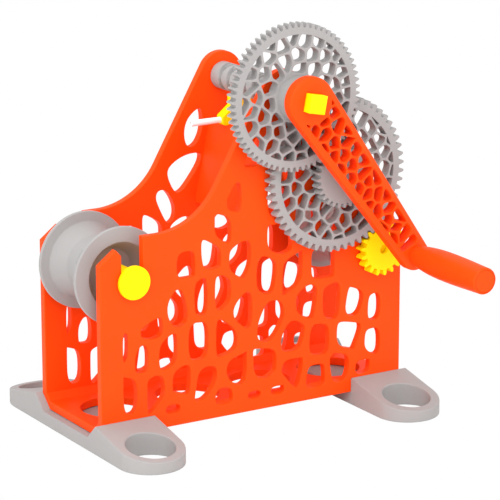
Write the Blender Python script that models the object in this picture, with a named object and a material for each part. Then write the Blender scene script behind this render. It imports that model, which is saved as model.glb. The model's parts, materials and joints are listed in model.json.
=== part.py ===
# Hand-cranked filament spool winder: a cell-webbed frame on two feet, a two-stage gear train,
# a crank with a turning grip, a reversing screw that lays the filament, and two spool spindles.
# Metres, +Z up. X runs along the frame, Y across it, and the crank is on the -Y side.
# The origin is the middle of the left foot's underside, on the bench.

from math import acos, atan2, ceil, cos, hypot, pi, radians, sin, sqrt, tan

import bmesh
import bpy

for old in list(bpy.data.objects):
    bpy.data.objects.remove(old)

MM = 0.001

# Fits
GAP = 0.3 * MM
SEAT_GAP = 0.5 * MM
WELD = 0.002 * MM
OVERRUN = 5 * MM

# Frame
FRAME_LENGTH = 250 * MM
FRAME_WIDTH = 90 * MM
WALL = 6 * MM
FLOOR = 6 * MM
FRAME_LIFT = 10 * MM
BEVEL_RUN = 12 * MM
BEVEL_RISE = 10.7 * MM
FLOOR_CHAMFER = 5 * MM
POST_FRONT_HEIGHT = 134 * MM
POST_PEAK_HEIGHT = 144 * MM
POST_PEAK_INSET = 13 * MM
POST_BACK_HEIGHT = 139.6 * MM
SHOULDER_HEIGHT = 151 * MM
RISE_ANGLE = radians(60)
RISE_RADIUS = 55 * MM
APEX_RADIUS = 17.5 * MM
FLOOR_HOLE_RADIUS = 23.5 * MM
FLOOR_HOLES = 4
FLOOR_HOLE_PITCH_SHARE = 0.244

# Shaft places
SUPPLY_INSET = 25.5 * MM
SUPPLY_HEIGHT = 120 * MM
TAKE_UP_INSET = 20.8 * MM
TAKE_UP_HEIGHT = 117.2 * MM
GEAR_LINE_ANGLE = radians(-56.3)
GEAR_CENTRES = 73.2 * MM

# Cells of the walls
WALL_RIB = 5 * MM
WALL_MARGIN = 12.5 * MM
WALL_END_MARGIN = 17.5 * MM
WALL_FOOT_MARGIN = 2.5 * MM
WALL_BOSS_RADIUS = 34 * MM
AXLE_BOSS_RADIUS = 13 * MM
WALL_CELL_STEP = 12 * MM
SMALLEST_CELL = 4.5 * MM

# Feet
FOOT_WIDTH = 48.5 * MM
FOOT_OVERHANG = 6 * MM
FOOT_REACH = 60 * MM
LOBE_HOLE_RADIUS = 17.5 * MM
FOOT_TIP_HEIGHT = 8.4 * MM

# Gears
CRANK_TEETH = 66
PINION_TEETH = 28
DRIVE_TEETH = 55
OUTPUT_TEETH = 18
PRESSURE_ANGLE = radians(20)
BACKLASH = 0.45 * MM
ROOT_CLEARANCE_SHARE = 0.25
GEAR_FACE = 7.9 * MM
GEAR_SPACE = 0.8 * MM
RIM_BAND = 4 * MM
GEAR_RIB = 2.3 * MM
GEAR_CELL_STEP = 6.5 * MM
CRANK_HUB_RADIUS = 18 * MM
CRANK_BACK_HUB_RADIUS = 13 * MM
DRIVE_HUB_RADIUS = 15 * MM

# Crank
SQUARE_SIDE = 14.3 * MM
SQUARE_TILT = radians(-11)
SQUARE_STAND_OUT = 7.2 * MM
JOURNAL_RADIUS = 7 * MM
CORE_SIDE = 7.4 * MM
TAIL_RADIUS = 3.6 * MM
COLLAR_RADIUS = 9 * MM
COLLAR_LENGTH = 5 * MM
HUB_LENGTH = 10.6 * MM
CRANK_RADIUS = 150.5 * MM
CRANK_ANGLE = radians(-53.5)
ARM_THICKNESS = 10 * MM
ARM_HUB_RADIUS = 18.5 * MM
ARM_TIP_RADIUS = 12.2 * MM
ARM_RAIL = 4.4 * MM
ARM_RIB = 2.2 * MM
ARM_BOSS_RADIUS = 15.5 * MM
ARM_TIP_BOSS_RADIUS = 9 * MM
ARM_CELL_STEP = 6.8 * MM

# Grip
GRIP_LENGTH = 81.5 * MM
GRIP_ROOT_RADIUS = 7.2 * MM
GRIP_WAIST_RADIUS = 10.5 * MM
GRIP_END_RADIUS = 9.6 * MM
PIN_RADIUS = 4 * MM
PIN_HEAD_RADIUS = 8.1 * MM
PIN_HEAD_LENGTH = 4 * MM
NUT_RADIUS = 7.5 * MM
NUT_LENGTH = 5 * MM
NUT_CORNER_COUNT = 6

# Reversing screw
SCREW_RADIUS = 10 * MM
SCREW_PITCH = 11.4 * MM
GROOVE_DEPTH = 1.8 * MM
GROOVE_FLOOR = 2.1 * MM
GROOVE_MOUTH = 6.3 * MM
PLAIN_END = 9 * MM
END_PLAY = 0.6 * MM

# Filament guide
GUIDE_REST = 15 * MM
GUIDE_DEPTH = 9 * MM
GUIDE_HALF_WIDTH = 7.7 * MM
TUBE_DROP = 27.6 * MM
TUBE_RADIUS = 2.25 * MM
TUBE_BORE = 1.1 * MM
TUBE_REACH = 22 * MM
TUBE_SEAT = 16 * MM
NOSE_REACH = 18.6 * MM
NOSE_DROP = 25.2 * MM
SHOULDER_DROP = 16.5 * MM
LEG_DROP = 33.5 * MM
SADDLE_DROP = 30 * MM
FOLLOWER_RADIUS = 2.6 * MM
FOLLOWER_LENGTH = 7 * MM

# Cross web
WEB_THICKNESS = 5 * MM
WEB_TOP_INSET = 8 * MM
WEB_SLOPE = radians(11.5)
WEB_LENGTH = 64 * MM

# Intermediate axle
AXLE_RADIUS = 3 * MM
AXLE_HEAD_RADIUS = 4 * MM
AXLE_HEAD_LENGTH = 2.5 * MM
KEY_SIDE = 14 * MM

# Spindles and cones
SPINDLE_RADIUS = 8 * MM
SUPPLY_DISC_RADIUS = 12.1 * MM
SUPPLY_DISC_LENGTH = 3.5 * MM
SUPPLY_TAIL_RADIUS = 4 * MM
TAKE_UP_CORE_SIDE = 11 * MM
TAKE_UP_TAIL_RADIUS = 5 * MM
TENON_SIDE = 9 * MM
TENON_LENGTH = 4.5 * MM
OUTPUT_EYE_RADIUS = 3.3 * MM
CONE_CLEARANCE = 11.5 * MM
FLANGE_LENGTH = 3 * MM
CONE_SKIN = 3.6 * MM
CONE_NECK_LENGTH = 12.2 * MM
WAIST_RADIUS = 20.8 * MM
SUPPLY_FLANGE_RADIUS = 35.4 * MM
SUPPLY_CONE_RADIUS = 28 * MM
TAKE_UP_FLANGE_RADIUS = 31 * MM
TAKE_UP_CONE_RADIUS = 27 * MM

# Facets
CIRCLE_STEPS = 24
CONE_STEPS = 24
PIN_STEPS = 12
SCREW_STEPS = 16
SCREW_ROWS_PER_PITCH = 6
ARC_STEP = 9 * MM
CORNER_STEPS = 4
FEWEST_CELL_SIDES = 5
MOST_CELL_SIDES = 9
SMOOTH_ANGLE = radians(35)

# Cells of a side wall from the bottom row up: centre along the frame's length, centre up the crank's
# height, greatest reach to a side and greatest reach up or down, each as a share of the same two
WALL_CELL_SHARES = (
    (0.228, 0.094, 0.023, 0.014), (0.396, 0.105, 0.028, 0.026), (0.497, 0.091, 0.021, 0.012),
    (0.575, 0.092, 0.022, 0.013), (0.870, 0.115, 0.025, 0.022), (0.092, 0.161, 0.022, 0.058),
    (0.174, 0.150, 0.028, 0.057), (0.257, 0.170, 0.029, 0.058), (0.336, 0.156, 0.036, 0.050),
    (0.438, 0.167, 0.033, 0.064), (0.532, 0.172, 0.039, 0.062), (0.625, 0.136, 0.036, 0.046),
    (0.706, 0.113, 0.032, 0.038), (0.791, 0.128, 0.036, 0.048), (0.905, 0.186, 0.028, 0.056),
    (0.077, 0.308, 0.009, 0.043), (0.129, 0.271, 0.021, 0.048), (0.214, 0.272, 0.029, 0.056),
    (0.312, 0.287, 0.032, 0.060), (0.405, 0.287, 0.035, 0.061), (0.552, 0.306, 0.045, 0.069),
    (0.627, 0.256, 0.040, 0.056), (0.718, 0.226, 0.034, 0.052), (0.820, 0.226, 0.042, 0.052),
    (0.162, 0.353, 0.035, 0.033), (0.245, 0.401, 0.032, 0.061), (0.321, 0.426, 0.021, 0.062),
    (0.393, 0.426, 0.027, 0.053), (0.459, 0.355, 0.031, 0.075), (0.673, 0.354, 0.036, 0.058),
    (0.759, 0.339, 0.030, 0.066), (0.841, 0.324, 0.043, 0.052), (0.909, 0.302, 0.022, 0.042),
    (0.273, 0.528, 0.030, 0.040), (0.355, 0.548, 0.032, 0.046), (0.450, 0.516, 0.036, 0.056),
    (0.394, 0.617, 0.027, 0.048), (0.537, 0.467, 0.033, 0.068), (0.625, 0.449, 0.034, 0.068),
    (0.729, 0.469, 0.040, 0.050), (0.582, 0.562, 0.042, 0.047), (0.431, 0.708, 0.024, 0.044),
    (0.575, 0.680, 0.034, 0.055), (0.490, 0.840, 0.026, 0.045), (0.670, 0.610, 0.036, 0.055),
    (0.750, 0.610, 0.032, 0.050), (0.620, 0.770, 0.030, 0.045),
)

# Cell centres of the two large gears: shares of the pitch radius to the right and up
CRANK_GEAR_CELL_SHARES = (
    (-0.07, 0.85), (0.12, 0.77), (0.37, 0.74), (-0.23, 0.74), (-0.42, 0.76), (-0.46, 0.60), (-0.63, 0.57),
    (-0.18, 0.50), (0.03, 0.58), (0.26, 0.57), (0.46, 0.54), (0.54, 0.69), (0.65, 0.55), (0.76, 0.45),
    (0.05, 0.39), (0.28, 0.37), (0.51, 0.34), (0.74, 0.28), (-0.51, 0.38), (-0.72, 0.41), (-0.32, 0.40),
    (-0.73, 0.21), (-0.44, 0.17), (-0.64, 0.08), (-0.40, -0.05), (-0.72, -0.12), (-0.83, -0.04),
    (-0.52, -0.21), (-0.30, -0.26), (-0.72, -0.33), (-0.49, -0.43), (-0.27, -0.42), (-0.10, -0.38),
    (-0.60, -0.56), (-0.38, -0.63), (-0.19, -0.68), (-0.03, -0.53), (0.09, -0.66), (-0.32, -0.80),
    (-0.13, -0.82), (0.10, -0.84), (0.25, -0.79), (0.46, 0.20), (0.61, 0.12), (0.80, 0.15), (0.82, -0.01),
    (0.68, -0.08), (0.79, -0.22), (0.46, -0.03), (0.14, -0.45), (0.30, -0.36), (0.28, -0.57), (0.44, -0.22),
    (0.46, -0.46), (0.62, -0.32), (0.42, -0.68), (0.60, -0.58), (0.73, -0.44),
)
DRIVE_GEAR_CELL_SHARES = (
    (0.34, 0.68), (0.50, 0.57), (0.61, 0.65), (0.70, 0.51), (0.65, 0.38), (0.83, 0.35), (0.36, 0.45),
    (0.51, 0.30), (0.74, 0.23), (0.55, 0.13), (0.87, 0.14), (0.73, -0.01), (0.89, -0.06), (0.83, -0.24),
    (-0.55, 0.06), (-0.64, -0.12), (-0.42, -0.10), (-0.53, -0.28), (-0.38, -0.34), (-0.19, -0.42),
    (-0.73, -0.29), (-0.63, -0.48), (-0.40, -0.50), (-0.09, -0.53), (-0.46, -0.64), (-0.27, -0.69),
    (0.12, -0.64), (-0.02, -0.74), (0.30, -0.60), (0.42, -0.74), (0.21, -0.81), (-0.14, -0.81),
    (0.01, -0.88), (-0.79, 0.05), (-0.80, -0.13), (-0.41, -0.77), (-0.62, 0.27), (-0.43, 0.24),
    (-0.78, 0.24), (-0.50, 0.45), (-0.30, 0.40), (-0.67, 0.47), (-0.36, 0.62), (-0.14, 0.52), (-0.52, 0.68),
    (-0.20, 0.76), (0.04, 0.63), (0.06, 0.42), (0.14, 0.79), (0.20, 0.56), (-0.04, 0.83), (0.22, 0.36),
    (0.70, -0.40), (0.56, -0.55), (0.52, -0.27), (0.38, -0.42), (0.55, -0.07), (0.66, -0.60), (0.38, 0.10),
    (0.18, -0.42), (0.36, -0.18),
)

# Cell centres of the crank arm: share of the crank's radius, share of the hub's radius to the left
ARM_CELL_SHARES = (
    (0.06, -0.69), (0.06, 0.62), (0.10, -0.03), (0.11, -0.62), (0.11, 0.52), (0.17, -0.31), (0.18, 0.34),
    (0.22, -0.68), (0.23, -0.27), (0.24, 0.60), (0.27, 0.28), (0.28, -0.54), (0.32, -0.14), (0.34, 0.37),
    (0.36, -0.61), (0.38, -0.12), (0.41, 0.40), (0.43, -0.48), (0.46, 0.10), (0.51, -0.44), (0.51, 0.10),
    (0.53, 0.42), (0.56, -0.24), (0.60, 0.10), (0.61, -0.49), (0.64, 0.39), (0.66, -0.34), (0.69, 0.11),
    (0.74, -0.17), (0.75, -0.50), (0.77, 0.28), (0.80, -0.04), (0.83, -0.38), (0.86, 0.05), (0.92, 0.10),
)

# The grip's barrel: share of its length from the arm, share of the swell from root to waist
GRIP_BARREL_SHARES = (
    (0, 0), (0.06, 0.28), (0.14, 0.55), (0.26, 0.85), (0.40, 1.0), (0.58, 1.0), (0.80, 0.86), (0.96, 0.72),
)

# Places that follow from the sizes above
HALF_WIDTH = FRAME_WIDTH / 2
INNER_HALF = HALF_WIDTH - WALL
LEFT_END = FOOT_OVERHANG - FOOT_WIDTH / 2
RIGHT_END = LEFT_END + FRAME_LENGTH
TAKE_UP = (RIGHT_END - TAKE_UP_INSET, TAKE_UP_HEIGHT)
LINE = (cos(GEAR_LINE_ANGLE), sin(GEAR_LINE_ANGLE))
AXLE = (TAKE_UP[0] - GEAR_CENTRES * LINE[0], TAKE_UP[1] - GEAR_CENTRES * LINE[1])
CRANK = (AXLE[0] - GEAR_CENTRES * LINE[0], AXLE[1] - GEAR_CENTRES * LINE[1])
SUPPLY = (LEFT_END + SUPPLY_INSET, SUPPLY_HEIGHT)
GRIP = (CRANK[0] + CRANK_RADIUS * cos(CRANK_ANGLE), CRANK[1] + CRANK_RADIUS * sin(CRANK_ANGLE))
FINE_MODULE = 2 * GEAR_CENTRES / (CRANK_TEETH + PINION_TEETH)
COARSE_MODULE = 2 * GEAR_CENTRES / (DRIVE_TEETH + OUTPUT_TEETH)
BEVEL_SLOPE = BEVEL_RISE / BEVEL_RUN
FLOOR_TOP = FRAME_LIFT + FLOOR
RIGHT_FOOT = RIGHT_END + FOOT_OVERHANG - FOOT_WIDTH / 2

# Stations across the frame, from the near wall towards the crank
DRIVE_BACK = -HALF_WIDTH - GEAR_SPACE
DRIVE_FRONT = DRIVE_BACK - GEAR_FACE
CRANK_GEAR_BACK = DRIVE_FRONT - GEAR_SPACE
CRANK_GEAR_FRONT = CRANK_GEAR_BACK - GEAR_FACE
HUB_FRONT = CRANK_GEAR_FRONT - HUB_LENGTH
ARM_BACK = HUB_FRONT - GAP
ARM_FRONT = ARM_BACK - ARM_THICKNESS
SHAFT_FRONT = ARM_FRONT - SQUARE_STAND_OUT
GRIP_ROOT = ARM_FRONT - GAP
GRIP_END = GRIP_ROOT - GRIP_LENGTH
SCREW_HALF = INNER_HALF - END_PLAY


def material(name, colour, roughness):
    made = bpy.data.materials.new(name)
    made.use_nodes = True
    shader = made.node_tree.nodes["Principled BSDF"]
    shader.inputs["Base Color"].default_value = (*colour, 1)
    shader.inputs["Roughness"].default_value = roughness
    shader.inputs["Metallic"].default_value = 0
    return made


ORANGE = material("orange_plastic", (1.0, 0.105, 0.008), 0.42)
GREY = material("grey_plastic", (0.58, 0.56, 0.54), 0.45)
YELLOW = material("yellow_plastic", (1.0, 0.85, 0.005), 0.4)
WHITE = material("white_tube", (0.9, 0.9, 0.9), 0.3)


def pivot(name, place):
    """An empty on a moving body's axis, where the body's pieces have their origin."""
    made = bpy.data.objects.new(name, None)
    made.location = (place[0], 0, place[1])
    bpy.context.scene.collection.objects.link(made)
    return made


def show(name, mesh, finish, parent=None, y=0):
    made = bpy.data.objects.new(name, mesh)
    mesh.materials.clear()
    mesh.materials.append(finish)
    bpy.context.scene.collection.objects.link(made)
    made.parent = parent
    made.location = (0, y, 0)
    mesh.shade_smooth()
    mesh.set_sharp_from_angle(angle=SMOOTH_ANGLE)
    return made


def cutter(mesh, name, parent=None):
    made = bpy.data.objects.new(name, mesh)
    bpy.context.scene.collection.objects.link(made)
    made.parent = parent
    made.hide_render = True
    made.display_type = "WIRE"
    return made


def combine(target, tool, operation):
    """A Boolean that stays on the piece, with the tool kept as a wire guide."""
    modifier = target.modifiers.new(operation.lower(), "BOOLEAN")
    modifier.operation = operation
    modifier.solver = "EXACT"
    modifier.object = tool


# Flat outlines, in (x, z)


def circle(centre, radius, steps):
    return arc(centre, radius, 0, 2 * pi * (steps - 1) / steps, steps - 1)


def arc(centre, radius, start, end, steps):
    return [
        (
            centre[0] + radius * cos(start + (end - start) * i / steps),
            centre[1] + radius * sin(start + (end - start) * i / steps),
        )
        for i in range(steps + 1)
    ]


def arc_steps(radius, start, end):
    return max(3, ceil(abs(end - start) * radius / ARC_STEP))


def square(side, tilt):
    half_diagonal = side / sqrt(2)
    return arc((0, 0), half_diagonal, tilt + pi / 4, tilt + pi / 4 + 3 * pi / 2, 3)


def clip(points, normal, limit):
    """The part of an outline where the distance along normal is at least limit."""
    kept = []
    for i, here in enumerate(points):
        before = points[i - 1]
        depth = here[0] * normal[0] + here[1] * normal[1] - limit
        depth_before = before[0] * normal[0] + before[1] * normal[1] - limit
        if (depth >= 0) != (depth_before >= 0):
            t = depth_before / (depth_before - depth)
            kept.append((before[0] + t * (here[0] - before[0]), before[1] + t * (here[1] - before[1])))
        if depth >= 0:
            kept.append(here)
    return kept


def area(points):
    return sum(a[0] * b[1] - b[0] * a[1] for a, b in zip(points, points[1:] + points[:1])) / 2


def soften(points, step):
    """Round an outline with a quadratic curve through its sides' middles, in even steps."""
    curve = []
    for i, corner in enumerate(points):
        before = points[i - 1]
        after = points[(i + 1) % len(points)]
        start = ((before[0] + corner[0]) / 2, (before[1] + corner[1]) / 2)
        end = ((corner[0] + after[0]) / 2, (corner[1] + after[1]) / 2)
        for j in range(CORNER_STEPS):
            t = j / CORNER_STEPS
            a, b, c = (1 - t) ** 2, 2 * t * (1 - t), t**2
            x, z = (a * start[k] + b * corner[k] + c * end[k] for k in (0, 1))
            curve.append((x, z))
    lengths = [hypot(q[0] - p[0], q[1] - p[1]) for p, q in zip(curve, curve[1:] + curve[:1])]
    total = sum(lengths)
    count = max(FEWEST_CELL_SIDES, min(MOST_CELL_SIDES, round(total / step)))
    even = []
    travelled = 0
    for p, q, length in zip(curve, curve[1:] + curve[:1], lengths):
        while len(even) < count and len(even) * total / count < travelled + length:
            t = (len(even) * total / count - travelled) / length
            even.append((p[0] + t * (q[0] - p[0]), p[1] + t * (q[1] - p[1])))
        travelled += length
    return even


def cells(seeds, field, rib, discs, step, reaches=None):
    """Rounded cells round the seeds, a rib apart, inside the field and clear of the discs.

    The reaches, where given, limit each cell to a side and up or down from its seed.
    """
    holes = []
    for i, seed in enumerate(seeds):
        cell = field
        for axis, reach in enumerate(reaches[i] if reaches else ()):
            for sign in (-1, 1):
                cell = clip(cell, (sign * (1 - axis), sign * axis), sign * seed[axis] - reach)
        for other in seeds:
            away = hypot(other[0] - seed[0], other[1] - seed[1])
            if away == 0:
                continue
            normal = ((seed[0] - other[0]) / away, (seed[1] - other[1]) / away)
            middle = ((seed[0] + other[0]) / 2, (seed[1] + other[1]) / 2)
            cell = clip(cell, normal, middle[0] * normal[0] + middle[1] * normal[1] + rib / 2)
        for centre, radius in discs:
            away = hypot(seed[0] - centre[0], seed[1] - centre[1])
            if away == 0:
                cell = []
                continue
            normal = ((seed[0] - centre[0]) / away, (seed[1] - centre[1]) / away)
            cell = clip(cell, normal, centre[0] * normal[0] + centre[1] * normal[1] + radius)
        if len(cell) < 3 or abs(area(cell)) < SMALLEST_CELL**2:
            continue
        holes.append(soften(cell, step))
    return holes


# Solids


def plate(name, outline, holes, thickness):
    """A flat solid in the XZ plane, centred on Y, from an outline and its holes."""
    curve = bpy.data.curves.new(name, "CURVE")
    curve.dimensions = "2D"
    curve.fill_mode = "BOTH"
    curve.extrude = thickness / 2
    for points in [outline, *holes]:
        spline = curve.splines.new("POLY")
        spline.points.add(len(points) - 1)
        for point, (x, z) in zip(spline.points, points):
            point.co = (x, z, 0, 1)
        spline.use_cyclic_u = True
    guide = bpy.data.objects.new(name + "_outline", curve)
    mesh = bpy.data.meshes.new_from_object(guide)
    bpy.data.objects.remove(guide)
    upright = bmesh.new()
    upright.from_mesh(mesh)
    for vertex in upright.verts:
        vertex.co = (vertex.co.x, -vertex.co.z, vertex.co.y)
    bmesh.ops.remove_doubles(upright, verts=upright.verts, dist=WELD)
    bmesh.ops.recalc_face_normals(upright, faces=upright.faces)
    upright.to_mesh(mesh)
    upright.free()
    mesh.name = name
    return mesh


def skin(name, rings, closed=False):
    """A solid stretched over rings of points; closed joins the last ring to the first."""
    body = bmesh.new()
    rows = [[body.verts.new(point) for point in ring] for ring in rings]
    pairs = list(zip(rows, rows[1:]))
    if closed:
        pairs.append((rows[-1], rows[0]))
    for first, second in pairs:
        for i in range(len(first)):
            body.faces.new((first[i - 1], first[i], second[i], second[i - 1]))
    if not closed:
        body.faces.new(rows[0])
        body.faces.new(rows[-1])
    bmesh.ops.recalc_face_normals(body, faces=body.faces)
    mesh = bpy.data.meshes.new(name)
    body.to_mesh(mesh)
    body.free()
    return mesh


def round_ring(radius, y, steps):
    return [(radius * cos(2 * pi * i / steps), y, radius * sin(2 * pi * i / steps)) for i in range(steps)]


def square_ring(side, y, steps, tilt):
    """A square, with as many points as a round ring, so that the two can be joined."""
    ring = []
    for i in range(steps):
        angle = 2 * pi * i / steps
        turn = (angle + pi / 4) % (pi / 2) - pi / 4
        reach = side / 2 / cos(turn)
        ring.append((reach * cos(angle + tilt), y, reach * sin(angle + tilt)))
    return ring


def turned(name, profile, steps, closed=False):
    """A round solid about Y from (radius, y) points."""
    return skin(name, [round_ring(radius, y, steps) for radius, y in profile], closed)


def gear_outline(teeth, module, phase, flank_points):
    """Involute teeth with a tooth centred on phase, and the radius at their roots."""
    pitch_radius = module * teeth / 2
    base = pitch_radius * cos(PRESSURE_ANGLE)
    root = pitch_radius - module * (1 + ROOT_CLEARANCE_SHARE)
    tip = pitch_radius + module
    half_tooth = pi / teeth / 2 - BACKLASH / 2 / pitch_radius
    pressure_roll = tan(PRESSURE_ANGLE) - PRESSURE_ANGLE
    flank = []
    for i in range(flank_points):
        radius = max(root, base) + (tip - max(root, base)) * i / (flank_points - 1)
        roll_angle = acos(base / radius)
        roll = tan(roll_angle) - roll_angle
        flank.append((radius, half_tooth + pressure_roll - roll))
    if root < base:
        flank[0] = (root, flank[0][1])
    points = []
    for tooth in range(teeth):
        middle = phase + 2 * pi * tooth / teeth
        for radius, half in flank:
            points.append((radius * cos(middle - half), radius * sin(middle - half)))
        for radius, half in reversed(flank):
            points.append((radius * cos(middle + half), radius * sin(middle + half)))
    return points, root


# Frame


def wall_outline(inset):
    """The side wall's outline, or the field of its cells at an inset from it."""
    foot = FRAME_LIFT if inset == 0 else FLOOR_TOP + WALL_FOOT_MARGIN
    end_radius = TAKE_UP_INSET - inset
    apex_radius = APEX_RADIUS - inset
    lean = GEAR_LINE_ANGLE + acos((apex_radius - end_radius) / (2 * GEAR_CENTRES))
    climb = pi / 2 + RISE_ANGLE
    points = [(LEFT_END + inset, foot), (RIGHT_END - inset, foot)]
    points += arc(TAKE_UP, end_radius, 0, lean, arc_steps(end_radius, 0, lean))
    points += arc(CRANK, apex_radius, lean, climb, arc_steps(apex_radius, lean, climb))
    top = points[-1]
    fillet = RISE_RADIUS + inset
    level = SHOULDER_HEIGHT - inset
    low = (top[0] - (top[1] - level - fillet * (1 - cos(RISE_ANGLE))) / tan(RISE_ANGLE), level + fillet)
    centre = (low[0] - fillet * sin(RISE_ANGLE), low[1])
    points += arc(centre, fillet, RISE_ANGLE - pi / 2, -pi / 2, arc_steps(fillet, 0, RISE_ANGLE))
    if inset > 0:
        points.append((LEFT_END + inset, level))
        return points
    slot = SPINDLE_RADIUS + SEAT_GAP
    points.append((SUPPLY[0] + slot, SHOULDER_HEIGHT))
    points += arc(SUPPLY, slot, 0, -pi, CIRCLE_STEPS // 2)
    points.append((SUPPLY[0] - slot, POST_BACK_HEIGHT))
    points.append((LEFT_END + POST_PEAK_INSET, POST_PEAK_HEIGHT))
    points.append((LEFT_END, POST_FRONT_HEIGHT))
    return points


def cut_foot_seats(target):
    """Cut the frame's bottom corners to the feet's troughs, over the feet's width only."""
    half = FOOT_WIDTH / 2 + GAP
    inner = HALF_WIDTH - BEVEL_RUN - OVERRUN
    outer = HALF_WIDTH + OVERRUN
    low = FRAME_LIFT - OVERRUN * BEVEL_SLOPE
    high = FRAME_LIFT + BEVEL_RISE + OVERRUN * BEVEL_SLOPE
    for label, centre in (("left", 0), ("right", RIGHT_FOOT)):
        for side, edge in ((-1, "near"), (1, "far")):
            section = [(side * inner, low), (side * outer, low), (side * outer, high)]
            ends = [[(x, y, z) for y, z in section] for x in (centre - half, centre + half)]
            name = "_".join((target.name, label, edge, "seat"))
            combine(target, cutter(skin(name, ends), name), "DIFFERENCE")


def side_wall(name, side):
    seeds = [(LEFT_END + row[0] * FRAME_LENGTH, row[1] * CRANK[1]) for row in WALL_CELL_SHARES]
    reaches = [(row[2] * FRAME_LENGTH, row[3] * CRANK[1]) for row in WALL_CELL_SHARES]
    field = clip(wall_outline(WALL_MARGIN), (1, 0), LEFT_END + WALL_END_MARGIN)
    field = clip(field, (-1, 0), WALL_END_MARGIN - RIGHT_END)
    discs = [(place, WALL_BOSS_RADIUS) for place in (SUPPLY, TAKE_UP, CRANK)]
    bores = [circle(TAKE_UP, SPINDLE_RADIUS + GAP, CIRCLE_STEPS)]
    if side < 0:
        discs.append((AXLE, AXLE_BOSS_RADIUS))
        bores.append(circle(AXLE, AXLE_RADIUS + GAP, PIN_STEPS))
        bores.append(circle(CRANK, JOURNAL_RADIUS + GAP, CIRCLE_STEPS))
    else:
        bores[0] = circle(TAKE_UP, TAKE_UP_TAIL_RADIUS + GAP, PIN_STEPS)
        bores.append(circle(CRANK, TAIL_RADIUS + GAP, PIN_STEPS))
    holes = cells(seeds, field, WALL_RIB, discs, WALL_CELL_STEP, reaches)
    mesh = plate(name, wall_outline(0), holes + bores, WALL)
    wall = show(name, mesh, ORANGE, y=side * (HALF_WIDTH - WALL / 2))
    cut_foot_seats(wall)
    return wall


def floor_pan():
    edge = INNER_HALF - GAP
    shelf = edge - FLOOR_CHAMFER
    lip = FLOOR_TOP + FLOOR_CHAMFER
    section = [
        (-edge, FRAME_LIFT), (edge, FRAME_LIFT), (edge, lip), (shelf, FLOOR_TOP), (-shelf, FLOOR_TOP),
        (-edge, lip),
    ]
    ends = [[(x, y, z) for y, z in section] for x in (LEFT_END, RIGHT_END)]
    pan = show("floor_pan", skin("floor_pan", ends), ORANGE)
    pitch = FLOOR_HOLE_PITCH_SHARE * FRAME_LENGTH
    first = (LEFT_END + RIGHT_END - (FLOOR_HOLES - 1) * pitch) / 2
    heights = (FRAME_LIFT - OVERRUN, FLOOR_TOP + OVERRUN)
    for i in range(FLOOR_HOLES):
        ring = circle((first + i * pitch, 0), FLOOR_HOLE_RADIUS, CIRCLE_STEPS)
        name = "floor_hole_" + str(i + 1)
        hole = skin(name, [[(x, y, z) for x, y in ring] for z in heights])
        combine(pan, cutter(hole, name), "DIFFERENCE")
    cut_foot_seats(pan)
    return pan


def web_line():
    """Top of the cross web's middle plane, and the unit step down along it."""
    step = (-sin(WEB_SLOPE), -cos(WEB_SLOPE))
    return (CRANK[0] - WEB_TOP_INSET, CRANK[1] - SADDLE_DROP), step


def cross_web():
    top, step = web_line()
    half = WEB_THICKNESS / 2
    across = (-step[1], step[0])
    crown = (top[0] + step[0] * half, top[1] + step[1] * half)
    tilt = atan2(across[1], across[0])
    outline = arc(crown, half, tilt, tilt + pi, PIN_STEPS // 2)
    for side in (-half, half):
        foot = (top[0] + step[0] * WEB_LENGTH, top[1] + step[1] * WEB_LENGTH)
        outline.append((foot[0] + across[0] * side, foot[1] + across[1] * side))
    return show("cross_web", plate("cross_web", outline, [], 2 * (INNER_HALF - GAP)), ORANGE)


def foot(name, centre):
    """A foot: a bar with a lobe at each end and a bevelled trough for the frame's bottom."""
    half = HALF_WIDTH + FOOT_REACH
    lobe = FOOT_WIDTH / 2
    ridge = FRAME_LIFT + BEVEL_RISE
    keel = HALF_WIDTH - BEVEL_RUN
    trough = FRAME_LIFT - GAP
    section = [
        (-half, 0), (half, 0), (half, FOOT_TIP_HEIGHT), (HALF_WIDTH + GAP, ridge), (keel + GAP, trough),
        (-keel - GAP, trough), (-HALF_WIDTH - GAP, ridge), (-half, FOOT_TIP_HEIGHT),
    ]
    ends = [[(centre + x, y, z) for y, z in section] for x in (-lobe, lobe)]
    bar = show(name, skin(name, ends), GREY)
    stadium = arc((centre, half - lobe), lobe, 0, pi, CIRCLE_STEPS // 2)
    stadium += arc((centre, lobe - half), lobe, pi, 2 * pi, CIRCLE_STEPS // 2)
    heights = (-OVERRUN, ridge + OVERRUN)
    plan = skin(name + "_plan", [[(x, y, z) for x, y in stadium] for z in heights])
    combine(bar, cutter(plan, name + "_plan"), "INTERSECT")
    for side in (-1, 1):
        ring = circle((centre, side * (half - lobe)), LOBE_HOLE_RADIUS, CIRCLE_STEPS)
        label = name + ("_near_hole" if side < 0 else "_far_hole")
        hole = skin(label, [[(x, y, z) for x, y in ring] for z in heights])
        combine(bar, cutter(hole, label), "DIFFERENCE")
    return bar


# Gear train


def webbed_gear(name, teeth, module, phase, hub, shares, pivot_at, back, front):
    """A gear with a web of irregular cells between its hub and its toothed rim."""
    outline, root = gear_outline(teeth, module, phase, 2)
    field = circle((0, 0), root - RIM_BAND, 2 * CIRCLE_STEPS)
    pitch_radius = module * teeth / 2
    seeds = [(u * pitch_radius, v * pitch_radius) for u, v in shares]
    holes = cells(seeds, field, GEAR_RIB, [((0, 0), hub + GEAR_RIB)], GEAR_CELL_STEP)
    mesh = plate(name, outline, holes, back - front)
    return show(name, mesh, GREY, pivot_at, (back + front) / 2)


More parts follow.
